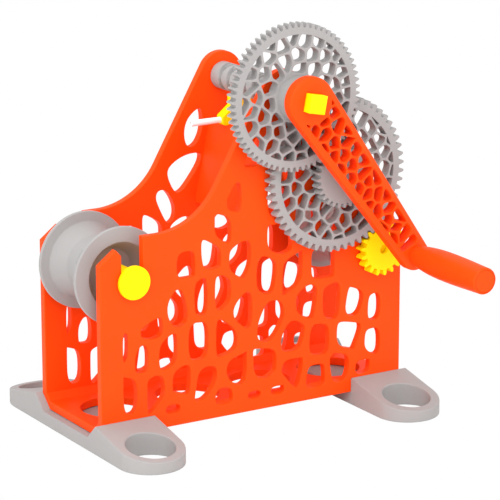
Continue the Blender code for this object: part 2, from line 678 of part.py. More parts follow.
def crank_gear(body):
    gear = webbed_gear(
        "crank_gear", CRANK_TEETH, FINE_MODULE, GEAR_LINE_ANGLE, CRANK_HUB_RADIUS,
        CRANK_GEAR_CELL_SHARES, body, CRANK_GEAR_BACK, CRANK_GEAR_FRONT,
    )
    middle = (CRANK_GEAR_BACK + CRANK_GEAR_FRONT) / 2
    hub = turned(
        "crank_gear_hub",
        [
            (CRANK_HUB_RADIUS, HUB_FRONT),
            (CRANK_HUB_RADIUS, middle),
            (CRANK_BACK_HUB_RADIUS, middle),
            (CRANK_BACK_HUB_RADIUS, -HALF_WIDTH - SEAT_GAP),
        ],
        CIRCLE_STEPS,
    )
    combine(gear, cutter(hub, "crank_gear_hub", body), "UNION")
    key = square_key(
        "crank_gear_key", SQUARE_SIDE + 2 * GAP, OVERRUN - HALF_WIDTH, HUB_FRONT - OVERRUN, SQUARE_TILT
    )
    combine(gear, cutter(key, "crank_gear_key", body), "DIFFERENCE")
    return gear


def square_key(name, side, back, front, tilt):
    """A square bar along Y, for keys and their sockets."""
    return skin(name, [[(x, y, z) for x, z in square(side, tilt)] for y in (front, back)])


def intermediate_gear(body):
    gear = webbed_gear(
        "intermediate_gear", DRIVE_TEETH, COARSE_MODULE, GEAR_LINE_ANGLE, DRIVE_HUB_RADIUS,
        DRIVE_GEAR_CELL_SHARES, body, DRIVE_BACK, DRIVE_FRONT,
    )
    key = square_key("intermediate_key", KEY_SIDE + 2 * GAP, DRIVE_BACK + OVERRUN, DRIVE_FRONT - OVERRUN, 0)
    combine(gear, cutter(key, "intermediate_key", body), "DIFFERENCE")
    return gear


def intermediate_pinion(body):
    """The small gear, with the square spigot that turns the big one behind it."""
    phase = GEAR_LINE_ANGLE + pi + pi / PINION_TEETH
    back = DRIVE_FRONT - GAP
    outline, _ = gear_outline(PINION_TEETH, FINE_MODULE, phase, 2)
    mesh = plate("intermediate_pinion", outline, [], back - CRANK_GEAR_FRONT)
    pinion = show("intermediate_pinion", mesh, GREY, body, (back + CRANK_GEAR_FRONT) / 2)
    spigot = square_key("pinion_spigot", KEY_SIDE, DRIVE_BACK, back - GEAR_SPACE, 0)
    combine(pinion, cutter(spigot, "pinion_spigot", body), "UNION")
    head_seat = CRANK_GEAR_FRONT + AXLE_HEAD_LENGTH + GAP
    bore = turned(
        "pinion_bore",
        [
            (AXLE_HEAD_RADIUS + GAP, CRANK_GEAR_FRONT - OVERRUN),
            (AXLE_HEAD_RADIUS + GAP, head_seat),
            (AXLE_RADIUS + GAP, head_seat),
            (AXLE_RADIUS + GAP, DRIVE_BACK + OVERRUN),
        ],
        PIN_STEPS,
    )
    combine(pinion, cutter(bore, "pinion_bore", body), "DIFFERENCE")
    return pinion


def output_pinion(body):
    """The yellow pinion: an eye in front, and behind it the socket for the spindle's tenon."""
    phase = GEAR_LINE_ANGLE + pi + pi / OUTPUT_TEETH
    outline, _ = gear_outline(OUTPUT_TEETH, COARSE_MODULE, phase, 3)
    pinion = show(
        "output_pinion", plate("output_pinion", outline, [], GEAR_FACE), YELLOW, body,
        (DRIVE_BACK + DRIVE_FRONT) / 2,
    )
    floor = DRIVE_BACK - TENON_LENGTH - GAP
    eye = turned(
        "output_eye", [(OUTPUT_EYE_RADIUS, DRIVE_FRONT - OVERRUN), (OUTPUT_EYE_RADIUS, DRIVE_BACK)], PIN_STEPS
    )
    combine(pinion, cutter(eye, "output_eye", body), "DIFFERENCE")
    socket = square_key("output_socket", TENON_SIDE + 2 * GAP, DRIVE_BACK + OVERRUN, floor, 0)
    combine(pinion, cutter(socket, "output_socket", body), "DIFFERENCE")
    return pinion


# Crank


def drive_shaft(body):
    """Square end for the arm and gear, journal in the near wall, square core, tail in the far wall."""
    shoulder = -HALF_WIDTH - SEAT_GAP
    steps = CIRCLE_STEPS
    tail_end = HALF_WIDTH + SEAT_GAP + COLLAR_LENGTH
    rings = [
        square_ring(SQUARE_SIDE, SHAFT_FRONT, steps, SQUARE_TILT),
        square_ring(SQUARE_SIDE, shoulder, steps, SQUARE_TILT),
        round_ring(JOURNAL_RADIUS, shoulder, steps),
        round_ring(JOURNAL_RADIUS, -INNER_HALF, steps),
        square_ring(CORE_SIDE, -INNER_HALF, steps, 0),
        square_ring(CORE_SIDE, INNER_HALF - SEAT_GAP, steps, 0),
        round_ring(TAIL_RADIUS, INNER_HALF - SEAT_GAP, steps),
        round_ring(TAIL_RADIUS, tail_end, steps),
    ]
    show("drive_shaft", skin("drive_shaft", rings), YELLOW, body)
    collar = ring_between(
        "drive_shaft_collar", COLLAR_RADIUS, TAIL_RADIUS + GAP, HALF_WIDTH + SEAT_GAP, tail_end
    )
    show("drive_shaft_collar", collar, YELLOW, body)


def ring_between(name, outer, inner, start, end):
    """A plain ring about Y."""
    profile = [(outer, start), (outer, end), (inner, end), (inner, start)]
    return turned(name, profile, CIRCLE_STEPS, closed=True)


def groove_depth(y, angle):
    """Depth of the two crossing grooves of the reversing screw."""
    if abs(y) > SCREW_HALF - PLAIN_END:
        return 0
    depth = 0
    flank = (GROOVE_MOUTH - GROOVE_FLOOR) / 2
    for hand in (-1, 1):
        turn = (y / SCREW_PITCH + hand * angle / (2 * pi) + 1 / 2) % 1 - 1 / 2
        share = (GROOVE_MOUTH / 2 - abs(turn) * SCREW_PITCH) / flank
        depth = max(depth, GROOVE_DEPTH * min(1, max(0, share)))
    return depth


def traverse_screw(body):
    rows = ceil(2 * SCREW_HALF / SCREW_PITCH * SCREW_ROWS_PER_PITCH)
    rings = []
    for row in range(rows + 1):
        y = -SCREW_HALF + 2 * SCREW_HALF * row / rows
        ring = []
        for i in range(SCREW_STEPS):
            angle = 2 * pi * i / SCREW_STEPS
            radius = SCREW_RADIUS - groove_depth(y, angle)
            ring.append((radius * cos(angle), y, radius * sin(angle)))
        rings.append(ring)
    for y in (SCREW_HALF, -SCREW_HALF):
        rings.append(square_ring(CORE_SIDE + 2 * GAP, y, SCREW_STEPS, 0))
    return show("traverse_screw", skin("traverse_screw", rings, closed=True), GREY, body)


def crank_arm(body):
    """The arm: two rails round a web of cells, from the hub to the grip's pin."""
    along = (cos(CRANK_ANGLE), sin(CRANK_ANGLE))
    left = (-along[1], along[0])
    tip = (CRANK_RADIUS * along[0], CRANK_RADIUS * along[1])

    def outline(inset):
        hub_radius = ARM_HUB_RADIUS - inset
        tip_radius = ARM_TIP_RADIUS - inset
        spread = acos((hub_radius - tip_radius) / CRANK_RADIUS)
        steps = CIRCLE_STEPS // 2
        points = arc((0, 0), hub_radius, CRANK_ANGLE + spread, CRANK_ANGLE - spread + 2 * pi, steps)
        return points + arc(tip, tip_radius, CRANK_ANGLE - spread, CRANK_ANGLE + spread, steps // 2)

    seeds = [
        (
            s * CRANK_RADIUS * along[0] + t * ARM_HUB_RADIUS * left[0],
            s * CRANK_RADIUS * along[1] + t * ARM_HUB_RADIUS * left[1],
        )
        for s, t in ARM_CELL_SHARES
    ]
    discs = [((0, 0), ARM_BOSS_RADIUS), (tip, ARM_TIP_BOSS_RADIUS)]
    holes = cells(seeds, outline(ARM_RAIL), ARM_RIB, discs, ARM_CELL_STEP)
    holes.append(square(SQUARE_SIDE + 2 * GAP, SQUARE_TILT))
    holes.append(circle(tip, PIN_RADIUS + GAP, PIN_STEPS))
    mesh = plate("crank_arm", outline(0), holes, ARM_THICKNESS)
    return show("crank_arm", mesh, ORANGE, body, (ARM_BACK + ARM_FRONT) / 2)


def handle_pin(body):
    """The pin that the grip turns on, its nut behind the arm, both fixed to the crank."""
    reach = (GRIP[0] - CRANK[0], 0, GRIP[1] - CRANK[1])
    nut_end = ARM_BACK + GAP + NUT_LENGTH
    profile = [
        (PIN_HEAD_RADIUS, GRIP_END),
        (PIN_HEAD_RADIUS, GRIP_END + PIN_HEAD_LENGTH),
        (PIN_RADIUS, GRIP_END + PIN_HEAD_LENGTH),
        (PIN_RADIUS, nut_end),
    ]
    pin = show("handle_pin", turned("handle_pin", profile, PIN_STEPS), ORANGE, body)
    nut = show("handle_nut", hex_nut("handle_nut", PIN_RADIUS + GAP), GREY, body)
    pin.location = reach
    nut.location = (reach[0], nut_end - NUT_LENGTH / 2, reach[2])


def hex_nut(name, bore):
    hole = circle((0, 0), bore, PIN_STEPS)
    return plate(name, circle((0, 0), NUT_RADIUS, NUT_CORNER_COUNT), [hole], NUT_LENGTH)


def handle_grip(body):
    """A barrel grip with a bore for the pin and a seat for the pin's head."""
    bore = PIN_RADIUS + GAP
    seat = PIN_HEAD_RADIUS + GAP
    seat_floor = GRIP_END + PIN_HEAD_LENGTH + GAP
    profile = []
    for along_share, swell_share in GRIP_BARREL_SHARES:
        radius = GRIP_ROOT_RADIUS + (GRIP_WAIST_RADIUS - GRIP_ROOT_RADIUS) * swell_share
        profile.append((radius, GRIP_ROOT - GRIP_LENGTH * along_share))
    profile.append((GRIP_END_RADIUS - GAP, GRIP_END))
    profile += [(seat, GRIP_END), (seat, seat_floor), (bore, seat_floor), (bore, GRIP_ROOT)]
    return show("handle_grip", turned("handle_grip", profile, CIRCLE_STEPS, closed=True), ORANGE, body)


# Filament guide


def filament_guide(body):
    """A block that straddles the cross web, with a post to the screw and a nose for the tube."""
    web_top, step = web_line()
    half = WEB_THICKNESS / 2 + GAP
    left = -GUIDE_HALF_WIDTH
    right = GUIDE_HALF_WIDTH
    post_top = -SCREW_RADIUS - GAP
    slot_x = web_top[0] - CRANK[0]
    slot_top = web_top[1] - CRANK[1] + GAP
    lean = (LEG_DROP + slot_top) * tan(WEB_SLOPE)
    outline = [
        (left, post_top),
        (left, -SHOULDER_DROP),
        (-NOSE_REACH, -NOSE_DROP),
        (-NOSE_REACH, -TUBE_DROP - TUBE_RADIUS),
        (-NOSE_REACH + 2 * TUBE_RADIUS, -LEG_DROP + TUBE_RADIUS),
        (slot_x - half - lean - TUBE_RADIUS, -LEG_DROP),
        (slot_x - half - lean, -LEG_DROP),
        (slot_x - half, slot_top),
        (slot_x + half, slot_top),
        (slot_x + half - lean, -LEG_DROP),
        (right, -LEG_DROP),
        (right, post_top),
    ]
    block = show("filament_guide", plate("filament_guide", outline, [], GUIDE_DEPTH), YELLOW, body)
    deep = -NOSE_REACH + TUBE_SEAT + GAP
    ends = [tube_ring(x, TUBE_RADIUS + GAP) for x in (-NOSE_REACH - OVERRUN, deep)]
    combine(block, cutter(skin("tube_seat", ends), "tube_seat", body), "DIFFERENCE")
    heights = (post_top - FOLLOWER_LENGTH - GAP, post_top + OVERRUN)
    socket = [follower_ring(z, FOLLOWER_RADIUS + GAP) for z in heights]
    combine(block, cutter(skin("follower_seat", socket), "follower_seat", body), "DIFFERENCE")
    return block


def tube_ring(x, radius):
    return [(x, y, z) for y, z in circle((0, -TUBE_DROP), radius, PIN_STEPS)]


def follower_ring(z, radius):
    return [(x, y, z) for x, y in circle((0, 0), radius, PIN_STEPS)]


def guide_tube(body):
    """The tube that leads the filament from the supply spool."""
    mouth = -NOSE_REACH - TUBE_REACH
    seat = -NOSE_REACH + TUBE_SEAT
    rings = [
        tube_ring(mouth, TUBE_RADIUS),
        tube_ring(seat, TUBE_RADIUS),
        tube_ring(seat, TUBE_BORE),
        tube_ring(mouth, TUBE_BORE),
    ]
    return show("guide_tube", skin("guide_tube", rings, closed=True), WHITE, body)


def groove_follower(body):
    """The peg in the post's top that the screw's grooves push along."""
    top = -SCREW_RADIUS - GAP
    rings = [follower_ring(z, FOLLOWER_RADIUS) for z in (top - FOLLOWER_LENGTH, top)]
    return show("groove_follower", skin("groove_follower", rings), GREY, body)


# Spindles


def cone_rings(side, flange_radius, cone_radius, bore_ring):
    """Rings of a hollow cone with a flange at its wide end, facing the nearer wall."""
    outer = INNER_HALF - CONE_CLEARANCE
    waist = GAP / 2
    shoulder = waist + CONE_NECK_LENGTH
    profile = [
        (flange_radius, outer),
        (flange_radius, outer - FLANGE_LENGTH),
        (cone_radius, outer - FLANGE_LENGTH),
        (WAIST_RADIUS, shoulder),
        (WAIST_RADIUS, waist),
    ]
    rings = [round_ring(radius, side * y, CONE_STEPS) for radius, y in profile]
    rings.append(bore_ring(side * waist))
    rings.append(bore_ring(side * shoulder))
    rings.append(round_ring(WAIST_RADIUS - CONE_SKIN, side * shoulder, CONE_STEPS))
    rings.append(round_ring(cone_radius - CONE_SKIN, side * outer, CONE_STEPS))
    return rings


def supply_spindle(body):
    """A plain spindle that drops into the slots, a disc at each end, and two cones."""
    disc_back = -HALF_WIDTH - SEAT_GAP
    disc_front = disc_back - SUPPLY_DISC_LENGTH
    far_face = HALF_WIDTH + SEAT_GAP
    far_end = far_face + SUPPLY_DISC_LENGTH
    profile = [
        (SUPPLY_DISC_RADIUS, disc_front),
        (SUPPLY_DISC_RADIUS, disc_back),
        (SPINDLE_RADIUS, disc_back),
        (SPINDLE_RADIUS, far_face - GAP),
        (SUPPLY_TAIL_RADIUS, far_face - GAP),
        (SUPPLY_TAIL_RADIUS, far_end),
    ]
    show("supply_shaft", turned("supply_shaft", profile, CIRCLE_STEPS), YELLOW, body)
    disc = ring_between(
        "supply_end_disc", SUPPLY_DISC_RADIUS, SUPPLY_TAIL_RADIUS + GAP, far_face, far_end
    )
    show("supply_end_disc", disc, YELLOW, body)

    def bore(y):
        return round_ring(SPINDLE_RADIUS + GAP, y, CONE_STEPS)

    for name, side in (("near_supply_cone", -1), ("far_supply_cone", 1)):
        rings = cone_rings(side, SUPPLY_FLANGE_RADIUS, SUPPLY_CONE_RADIUS, bore)
        show(name, skin(name, rings, closed=True), GREY, body)


def take_up_spindle(body):
    """A spindle driven by the output pinion, square between the walls so that it turns its cones."""
    steps = CIRCLE_STEPS
    journal_front = DRIVE_BACK + GAP
    tail_end = HALF_WIDTH + SEAT_GAP + COLLAR_LENGTH
    rings = [
        square_ring(TENON_SIDE, DRIVE_BACK - TENON_LENGTH, steps, 0),
        square_ring(TENON_SIDE, journal_front, steps, 0),
        round_ring(SPINDLE_RADIUS, journal_front, steps),
        round_ring(SPINDLE_RADIUS, -INNER_HALF, steps),
        square_ring(TAKE_UP_CORE_SIDE, -INNER_HALF, steps, 0),
        square_ring(TAKE_UP_CORE_SIDE, INNER_HALF - SEAT_GAP, steps, 0),
        round_ring(TAKE_UP_TAIL_RADIUS, INNER_HALF - SEAT_GAP, steps),
        round_ring(TAKE_UP_TAIL_RADIUS, tail_end, steps),
    ]
    show("take_up_shaft", skin("take_up_shaft", rings), YELLOW, body)
    collar = ring_between(
        "take_up_collar", COLLAR_RADIUS, TAKE_UP_TAIL_RADIUS + GAP, HALF_WIDTH + SEAT_GAP, tail_end
    )
    show("take_up_collar", collar, YELLOW, body)

    def bore(y):
        return square_ring(TAKE_UP_CORE_SIDE + 2 * GAP, y, CONE_STEPS, 0)

    for name, side in (("near_drive_cone", -1), ("far_drive_cone", 1)):
        rings = cone_rings(side, TAKE_UP_FLANGE_RADIUS, TAKE_UP_CONE_RADIUS, bore)
        show(name, skin(name, rings, closed=True), GREY, body)


def intermediate_axle():
    """The bolt that the intermediate gears run on, and its nut inside the near wall."""
    nut_start = GAP - INNER_HALF
    nut_end = nut_start + NUT_LENGTH
    profile = [
        (AXLE_HEAD_RADIUS, CRANK_GEAR_FRONT),
        (AXLE_HEAD_RADIUS, CRANK_GEAR_FRONT + AXLE_HEAD_LENGTH),
        (AXLE_RADIUS, CRANK_GEAR_FRONT + AXLE_HEAD_LENGTH),
        (AXLE_RADIUS, nut_end),
    ]
    bolt = show("intermediate_axle", turned("intermediate_axle", profile, PIN_STEPS), GREY)
    bolt.location = (AXLE[0], 0, AXLE[1])
    nut = show("axle_nut", hex_nut("axle_nut", AXLE_RADIUS + GAP), GREY)
    nut.location = (AXLE[0], (nut_start + nut_end) / 2, AXLE[1])


side_wall("near_side_wall", -1)
side_wall("far_side_wall", 1)
floor_pan()
cross_web()
foot("left_foot", 0)
foot("right_foot", RIGHT_FOOT)
intermediate_axle()

crank_axis = pivot("crank_axis", CRANK)
drive_shaft(crank_axis)
crank_gear(crank_axis)
traverse_screw(crank_axis)
crank_arm(crank_axis)
handle_pin(crank_axis)
handle_grip(pivot("grip_axis", GRIP))

intermediate_axis = pivot("intermediate_axis", AXLE)
intermediate_gear(intermediate_axis)
intermediate_pinion(intermediate_axis)

take_up_axis = pivot("take_up_axis", TAKE_UP)
output_pinion(take_up_axis)
take_up_spindle(take_up_axis)
supply_spindle(pivot("supply_axis", SUPPLY))

guide_place = pivot("guide_place", CRANK)
guide_place.location.y = GUIDE_REST
filament_guide(guide_place)
guide_tube(guide_place)
groove_follower(guide_place)
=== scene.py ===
# Looks of the filament spool winder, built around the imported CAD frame.
# Metres, +Z up. X runs along the frame, Y across it, and the crank is on the -Y side.

import json
from math import acos, atan2, ceil, cos, dist, pi, radians, sin, sqrt, tan

import bmesh
import bpy
from mathutils import Matrix, Vector
from mathutils.geometry import delaunay_2d_cdt


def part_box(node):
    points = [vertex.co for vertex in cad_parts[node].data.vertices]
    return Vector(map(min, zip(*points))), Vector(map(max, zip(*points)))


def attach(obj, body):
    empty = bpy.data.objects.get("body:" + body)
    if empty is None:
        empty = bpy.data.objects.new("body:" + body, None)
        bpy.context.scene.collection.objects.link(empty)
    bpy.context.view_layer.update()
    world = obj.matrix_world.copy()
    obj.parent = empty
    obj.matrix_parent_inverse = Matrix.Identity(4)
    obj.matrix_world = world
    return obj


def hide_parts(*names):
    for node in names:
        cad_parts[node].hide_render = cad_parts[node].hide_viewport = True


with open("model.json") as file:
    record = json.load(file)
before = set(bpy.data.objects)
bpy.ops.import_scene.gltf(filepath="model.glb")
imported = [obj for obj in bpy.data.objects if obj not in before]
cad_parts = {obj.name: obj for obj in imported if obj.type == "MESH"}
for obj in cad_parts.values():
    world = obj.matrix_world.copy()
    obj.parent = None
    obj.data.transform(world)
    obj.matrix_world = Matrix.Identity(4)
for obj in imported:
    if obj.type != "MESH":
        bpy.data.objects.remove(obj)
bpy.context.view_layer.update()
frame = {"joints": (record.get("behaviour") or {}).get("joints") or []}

MM = 0.001


def axis(joint_name):
    """Where a turning joint's axis stands, as (x, z)."""
    place = next(joint["pos_m"] for joint in frame["joints"] if joint["name"] == joint_name)
    return place[0], place[2]


def low(node):
    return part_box(node)[0]


def high(node):
    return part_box(node)[1]


def size_x(node):
    return high(node).x - low(node).x


def size_y(node):
    return high(node).y - low(node).y


def middle_x(node):
    return (low(node).x + high(node).x) / 2


def middle_y(node):
    return (low(node).y + high(node).y) / 2


# Places taken from the frame
CRANK = axis("crank_spin")
GRIP = axis("grip_spin")
AXLE = axis("intermediate_spin")
TAKE_UP = axis("take_up_spin")
SUPPLY = axis("supply_spin")
LEFT_END = low("near_side_wall").x
RIGHT_END = high("near_side_wall").x
HALF_WIDTH = high("far_side_wall").y
INNER_HALF = low("far_side_wall").y
FRAME_LIFT = low("floor_pan").z

# Direction of the line through the gears' centres
GEAR_LINE = atan2(TAKE_UP[1] - CRANK[1], TAKE_UP[0] - CRANK[0])

# Rounded edges
EDGE = 0.7 * MM
CELL_EDGE = 0.5 * MM
TOOTH_EDGE = 0.22 * MM
EDGE_STEPS = 3

# Frame
BEVEL_RUN = 12 * MM
BEVEL_RISE = 10.7 * MM
FLOOR_TOP = FRAME_LIFT + 6 * MM
FLOOR_CHAMFER = 5 * MM
FLOOR_HOLE_RADIUS = 23.5 * MM
FLOOR_HOLES = 4
FLOOR_HOLE_PITCH_SHARE = 0.244
POST_FRONT_HEIGHT = 134 * MM
POST_PEAK_HEIGHT = 144 * MM
POST_PEAK_INSET = 13 * MM
POST_BACK_HEIGHT = 139.6 * MM
SHOULDER_HEIGHT = 151 * MM
RISE_ANGLE = radians(60)
RISE_RADIUS = 55 * MM
APEX_RADIUS = 17.5 * MM
WALL_RIB = 5 * MM
WALL_CORNER_SHARE = 0.46
WALL_MARGIN = 12.5 * MM
WALL_END_MARGIN = 17.5 * MM
WALL_FOOT_MARGIN = 2.5 * MM
WALL_BOSS_RADIUS = 34 * MM
AXLE_BOSS_RADIUS = 13 * MM
SMALLEST_CELL = 1.6 * MM
SLOT_RADIUS = 8.5 * MM

# Feet
LOBE_HOLE_RADIUS = 17.5 * MM
FOOT_TIP_HEIGHT = 8.4 * MM
FOOT_EDGE = 0.9 * MM

# Gears
CRANK_TEETH = 66
PINION_TEETH = 28
DRIVE_TEETH = 55
OUTPUT_TEETH = 18
CRANK_MODULE = 2 * dist(CRANK, AXLE) / (CRANK_TEETH + PINION_TEETH)
DRIVE_MODULE = 2 * dist(AXLE, TAKE_UP) / (DRIVE_TEETH + OUTPUT_TEETH)
GEAR_SPACE = 0.8 * MM
PRESSURE_ANGLE = radians(20)
BACKLASH = 0.45 * MM
ADDENDUM_SHARE = 0.8
ROOT_CLEARANCE_SHARE = 0.25
RIM_BAND = 4.8 * MM
GEAR_RIB = 1.6 * MM
GEAR_CELL_EDGE = 0.3 * MM
GEAR_CORNER_SHARE = 0.38
CRANK_HUB_RADIUS = 16 * MM
CRANK_BACK_HUB_RADIUS = 13 * MM
DRIVE_HUB_RADIUS = 15 * MM
KEY_SIDE = 14 * MM
AXLE_RADIUS = 3 * MM
AXLE_HEAD_RADIUS = 4 * MM
AXLE_HEAD_LENGTH = 2.5 * MM
EYE_RADIUS = 3.3 * MM

# Crank, grip and shafts
SQUARE_SIDE = 13.2 * MM
SQUARE_TILT = radians(-11)
SQUARE_CORNER = 0.5 * MM
CORE_SIDE = 7.4 * MM
JOURNAL_RADIUS = 7 * MM
TAIL_RADIUS = 3.6 * MM
ARM_HUB_RADIUS = 18 * MM
ARM_TIP_RADIUS = 11.4 * MM
ARM_RAIL = 4.4 * MM
ARM_SLOPE_WIDTH = 3.8 * MM
ARM_SLOPE_DROP = 0.9 * MM
ARM_RIB = 1.4 * MM
ARM_CELL_EDGE = 0.3 * MM
ARM_CORNER_SHARE = 0.4
ARM_BOSS_RADIUS = 15.5 * MM
ARM_TIP_BOSS_RADIUS = 9 * MM
ARM_EDGE = 1.6 * MM
PIN_RADIUS = 4 * MM
PIN_HEAD_RADIUS = 8.1 * MM
PIN_HEAD_LENGTH = 4 * MM
GRIP_ROOT_RADIUS = 7.2 * MM
GRIP_WAIST_RADIUS = 10.5 * MM
GRIP_END_RADIUS = 9.6 * MM
GRIP_EDGE = 1.4 * MM
FIT = 0.3 * MM
SEAT_GAP = 0.5 * MM

# Reversing screw
SCREW_RADIUS = 10 * MM
SCREW_PITCH = 11.4 * MM
SCREW_SHIFT = 2.8 * MM
GROOVE_DEPTH = 2.8 * MM
GROOVE_FLOOR = 2.4 * MM
GROOVE_MOUTH = 3.6 * MM
PLAIN_END = 7 * MM
SCREW_ROW = 0.3 * MM
SCREW_STEPS = 120

# Filament guide and the web that it straddles
GUIDE_HALF_WIDTH = 7.7 * MM
GUIDE_LEFT_REACH = 7.2 * MM
TUBE_DROP = 27.6 * MM
TUBE_BORE = 1.1 * MM
NOSE_REACH = 16 * MM
NOSE_DROP = 24.7 * MM
NOSE_FLOOR_DROP = 31.2 * MM
SHOULDER_DROP = 17.6 * MM
LEG_DROP = 33.5 * MM
SADDLE_DROP = 30 * MM
WEB_THICKNESS = 5 * MM
WEB_TOP_INSET = 8 * MM
WEB_SLOPE = radians(11.5)
WEB_LENGTH = 64 * MM

# Spindles and cones
SPINDLE_RADIUS = 8 * MM
SUPPLY_TAIL_RADIUS = 4 * MM
TAKE_UP_TAIL_RADIUS = 5 * MM
TAKE_UP_CORE_SIDE = 11 * MM
TENON_SIDE = 9 * MM
CONE_SKIN = 3.6 * MM
CONE_NECK_LENGTH = 12.2 * MM
FLANGE_LENGTH = 3 * MM
WAIST_RADIUS = 20.8 * MM
SUPPLY_CONE_RADIUS = 28 * MM
TAKE_UP_CONE_RADIUS = 27 * MM

# Fineness
ROUND_STEPS = 96
PIN_STEPS = 48
CELL_CORNER_STEPS = 6
FILLET_STEPS = 4
LONGEST_FILLET_SHARE = 0.45
SHARPEST_MITER = 0.5
ARC_STEP = 1.2 * MM
FEWEST_ARC_STEPS = 4
FLANK_POINTS = 5
SMOOTH_ANGLE = radians(35)
NORMAL_WEIGHT = 80
WELD = 0.002 * MM
OVERRUN = 5 * MM
NEAR = 1e-6
INSIDE_WITHOUT_HOLES = 2

# Plastic; each noise is given by its scale and its detail
GLOSS = 0.1
COLOUR_NOISE = (28, 3)
ROUGHNESS_NOISE = (90, 4)
ROUGHNESS_SPREAD = (-0.05, 0.07)
GRAIN_NOISE = (1400, 2)
GRAIN_DEPTH = 0.05 * MM

# Camera, floor and light
LENS = 188.4
SENSOR = 36
VIEW_YAW = radians(31.58)
VIEW_PITCH = radians(14.81)
VIEW_DISTANCE = 1.892
VIEW_TARGET = (0.12522, -0.0074, 0.11806)
FLOOR_SIZE = 6.0
FLOOR_COLOUR = (0.9, 0.9, 0.9)
FLOOR_ROUGHNESS = 0.8
ROOM_STRENGTH = 0.85

# Each lamp's name, direction from the object, distance, size and power
LAMPS = (
    ("key_lamp", (-0.5, -1.0, 1.0), 1.6, 1.2, 16),
    ("left_lamp", (-1.0, -0.25, 0.3), 1.6, 1.2, 8),
    ("fill_lamp", (1.0, -0.7, 0.5), 1.8, 1.4, 6),
    ("top_lamp", (0.0, 0.3, 1.0), 1.5, 1.2, 8),
)

# What the tables of cells below count in
THOUSANDTHS = 1000
HUNDREDTHS = 100

# Cells of a side wall from the bottom row up: centre along the frame's length, centre up the crank's
# height, greatest reach to a side and greatest reach up or down, in thousandths of those two
WALL_CELLS = (
    (228, 94, 23, 14), (396, 105, 28, 26), (497, 91, 21, 12), (575, 92, 22, 13), (870, 115, 25, 22),
    (92, 161, 22, 58), (174, 150, 28, 57), (257, 170, 29, 58), (336, 156, 36, 50), (438, 167, 33, 64),
    (532, 172, 39, 62), (625, 136, 36, 46), (706, 113, 32, 38), (791, 128, 36, 48), (905, 186, 28, 56),
    (77, 308, 9, 43), (129, 271, 21, 48), (214, 272, 29, 56), (312, 287, 32, 60), (405, 287, 35, 61),
    (552, 306, 45, 69), (627, 256, 40, 56), (718, 226, 34, 52), (820, 226, 42, 52), (162, 353, 35, 33),
    (245, 401, 32, 61), (321, 426, 21, 62), (393, 426, 27, 53), (459, 355, 31, 75), (673, 354, 36, 58),
    (759, 339, 30, 66), (841, 324, 43, 52), (909, 302, 22, 42), (273, 528, 30, 40), (355, 548, 32, 46),
    (450, 516, 36, 56), (537, 467, 33, 68), (625, 449, 34, 68), (729, 469, 40, 50), (582, 562, 42, 47),
    (575, 680, 34, 55), (670, 610, 36, 55), (750, 610, 32, 50), (620, 770, 30, 45),
)
RISE_CELLS = ((394, 617, 27, 48), (431, 708, 24, 44), (490, 840, 26, 45))

# The three rise cells corner by corner, as they show in the far wall, in the same thousandths
FAR_RISE_CORNERS = (
    (
        (399, 665), (418, 642), (433, 605), (431, 573), (414, 556), (400, 565), (378, 612), (367, 643),
        (375, 664),
    ),
    (
        (522, 766), (518, 735), (483, 685), (452, 649), (430, 652), (407, 704), (410, 731), (443, 755),
        (480, 767),
    ),
    (
        (519, 911), (527, 877), (524, 833), (508, 798), (487, 784), (469, 796), (463, 837), (476, 879),
    ),
)

# Cell centres of the crank arm, in hundredths of its reach along it and of its hub's radius to the left
ARM_CELLS = (
    (6, -69), (6, 62), (10, -3), (11, -62), (11, 52), (17, -31), (18, 34), (22, -68), (23, -27),
    (24, 60), (27, 28), (28, -54), (32, -14), (34, 37), (36, -61), (38, -12), (41, 40), (43, -48),
    (46, 10), (51, -44), (51, 10), (53, 42), (56, -24), (60, 10), (61, -49), (64, 39), (66, -34),
    (69, 11), (74, -17), (75, -50), (77, 28), (80, -4), (83, -38), (86, 5), (92, 10),
)

# Cell centres of the large gears, in hundredths of the pitch radius
CRANK_GEAR_CELLS = (
    (-7, 85), (12, 77), (37, 74), (-23, 74), (-42, 76), (-46, 60), (-63, 57), (-18, 50), (3, 58),
    (26, 57), (46, 54), (54, 69), (65, 55), (76, 45), (5, 39), (28, 37), (51, 34), (74, 28), (-51, 38),
    (-72, 41), (-32, 40), (-73, 21), (-44, 17), (-64, 8), (-40, -5), (-72, -12), (-83, -4), (-52, -21),
    (-30, -26), (-72, -33), (-49, -43), (-27, -42), (-10, -38), (-60, -56), (-38, -63), (-19, -68),
    (-3, -53), (9, -66), (-32, -80), (-13, -82), (10, -84), (25, -79), (46, 20), (61, 12), (80, 15),
    (82, -1), (68, -8), (79, -22), (46, -3), (14, -45), (30, -36), (28, -57), (44, -22), (46, -46),
    (62, -32), (42, -68), (60, -58), (73, -44),
)
DRIVE_GEAR_CELLS = (
    (34, 68), (50, 57), (61, 65), (70, 51), (65, 38), (83, 35), (36, 45), (51, 30), (74, 23), (55, 13),
    (87, 14), (73, -1), (89, -6), (83, -24), (-55, 6), (-64, -12), (-42, -10), (-53, -28), (-38, -34),
    (-19, -42), (-73, -29), (-63, -48), (-40, -50), (-9, -53), (-46, -64), (-27, -69), (12, -64),
    (-2, -74), (30, -60), (42, -74), (21, -81), (-14, -81), (1, -88), (-79, 5), (-80, -13), (-41, -77),
    (-62, 27), (-43, 24), (-78, 24), (-50, 45), (-30, 40), (-67, 47), (-36, 62), (-14, 52), (-52, 68),
    (-20, 76), (4, 63), (6, 42), (14, 79), (20, 56), (-4, 83), (22, 36), (70, -40), (56, -55),
    (52, -27), (38, -42), (55, -7), (66, -60), (38, 10), (18, -42), (36, -18),
)

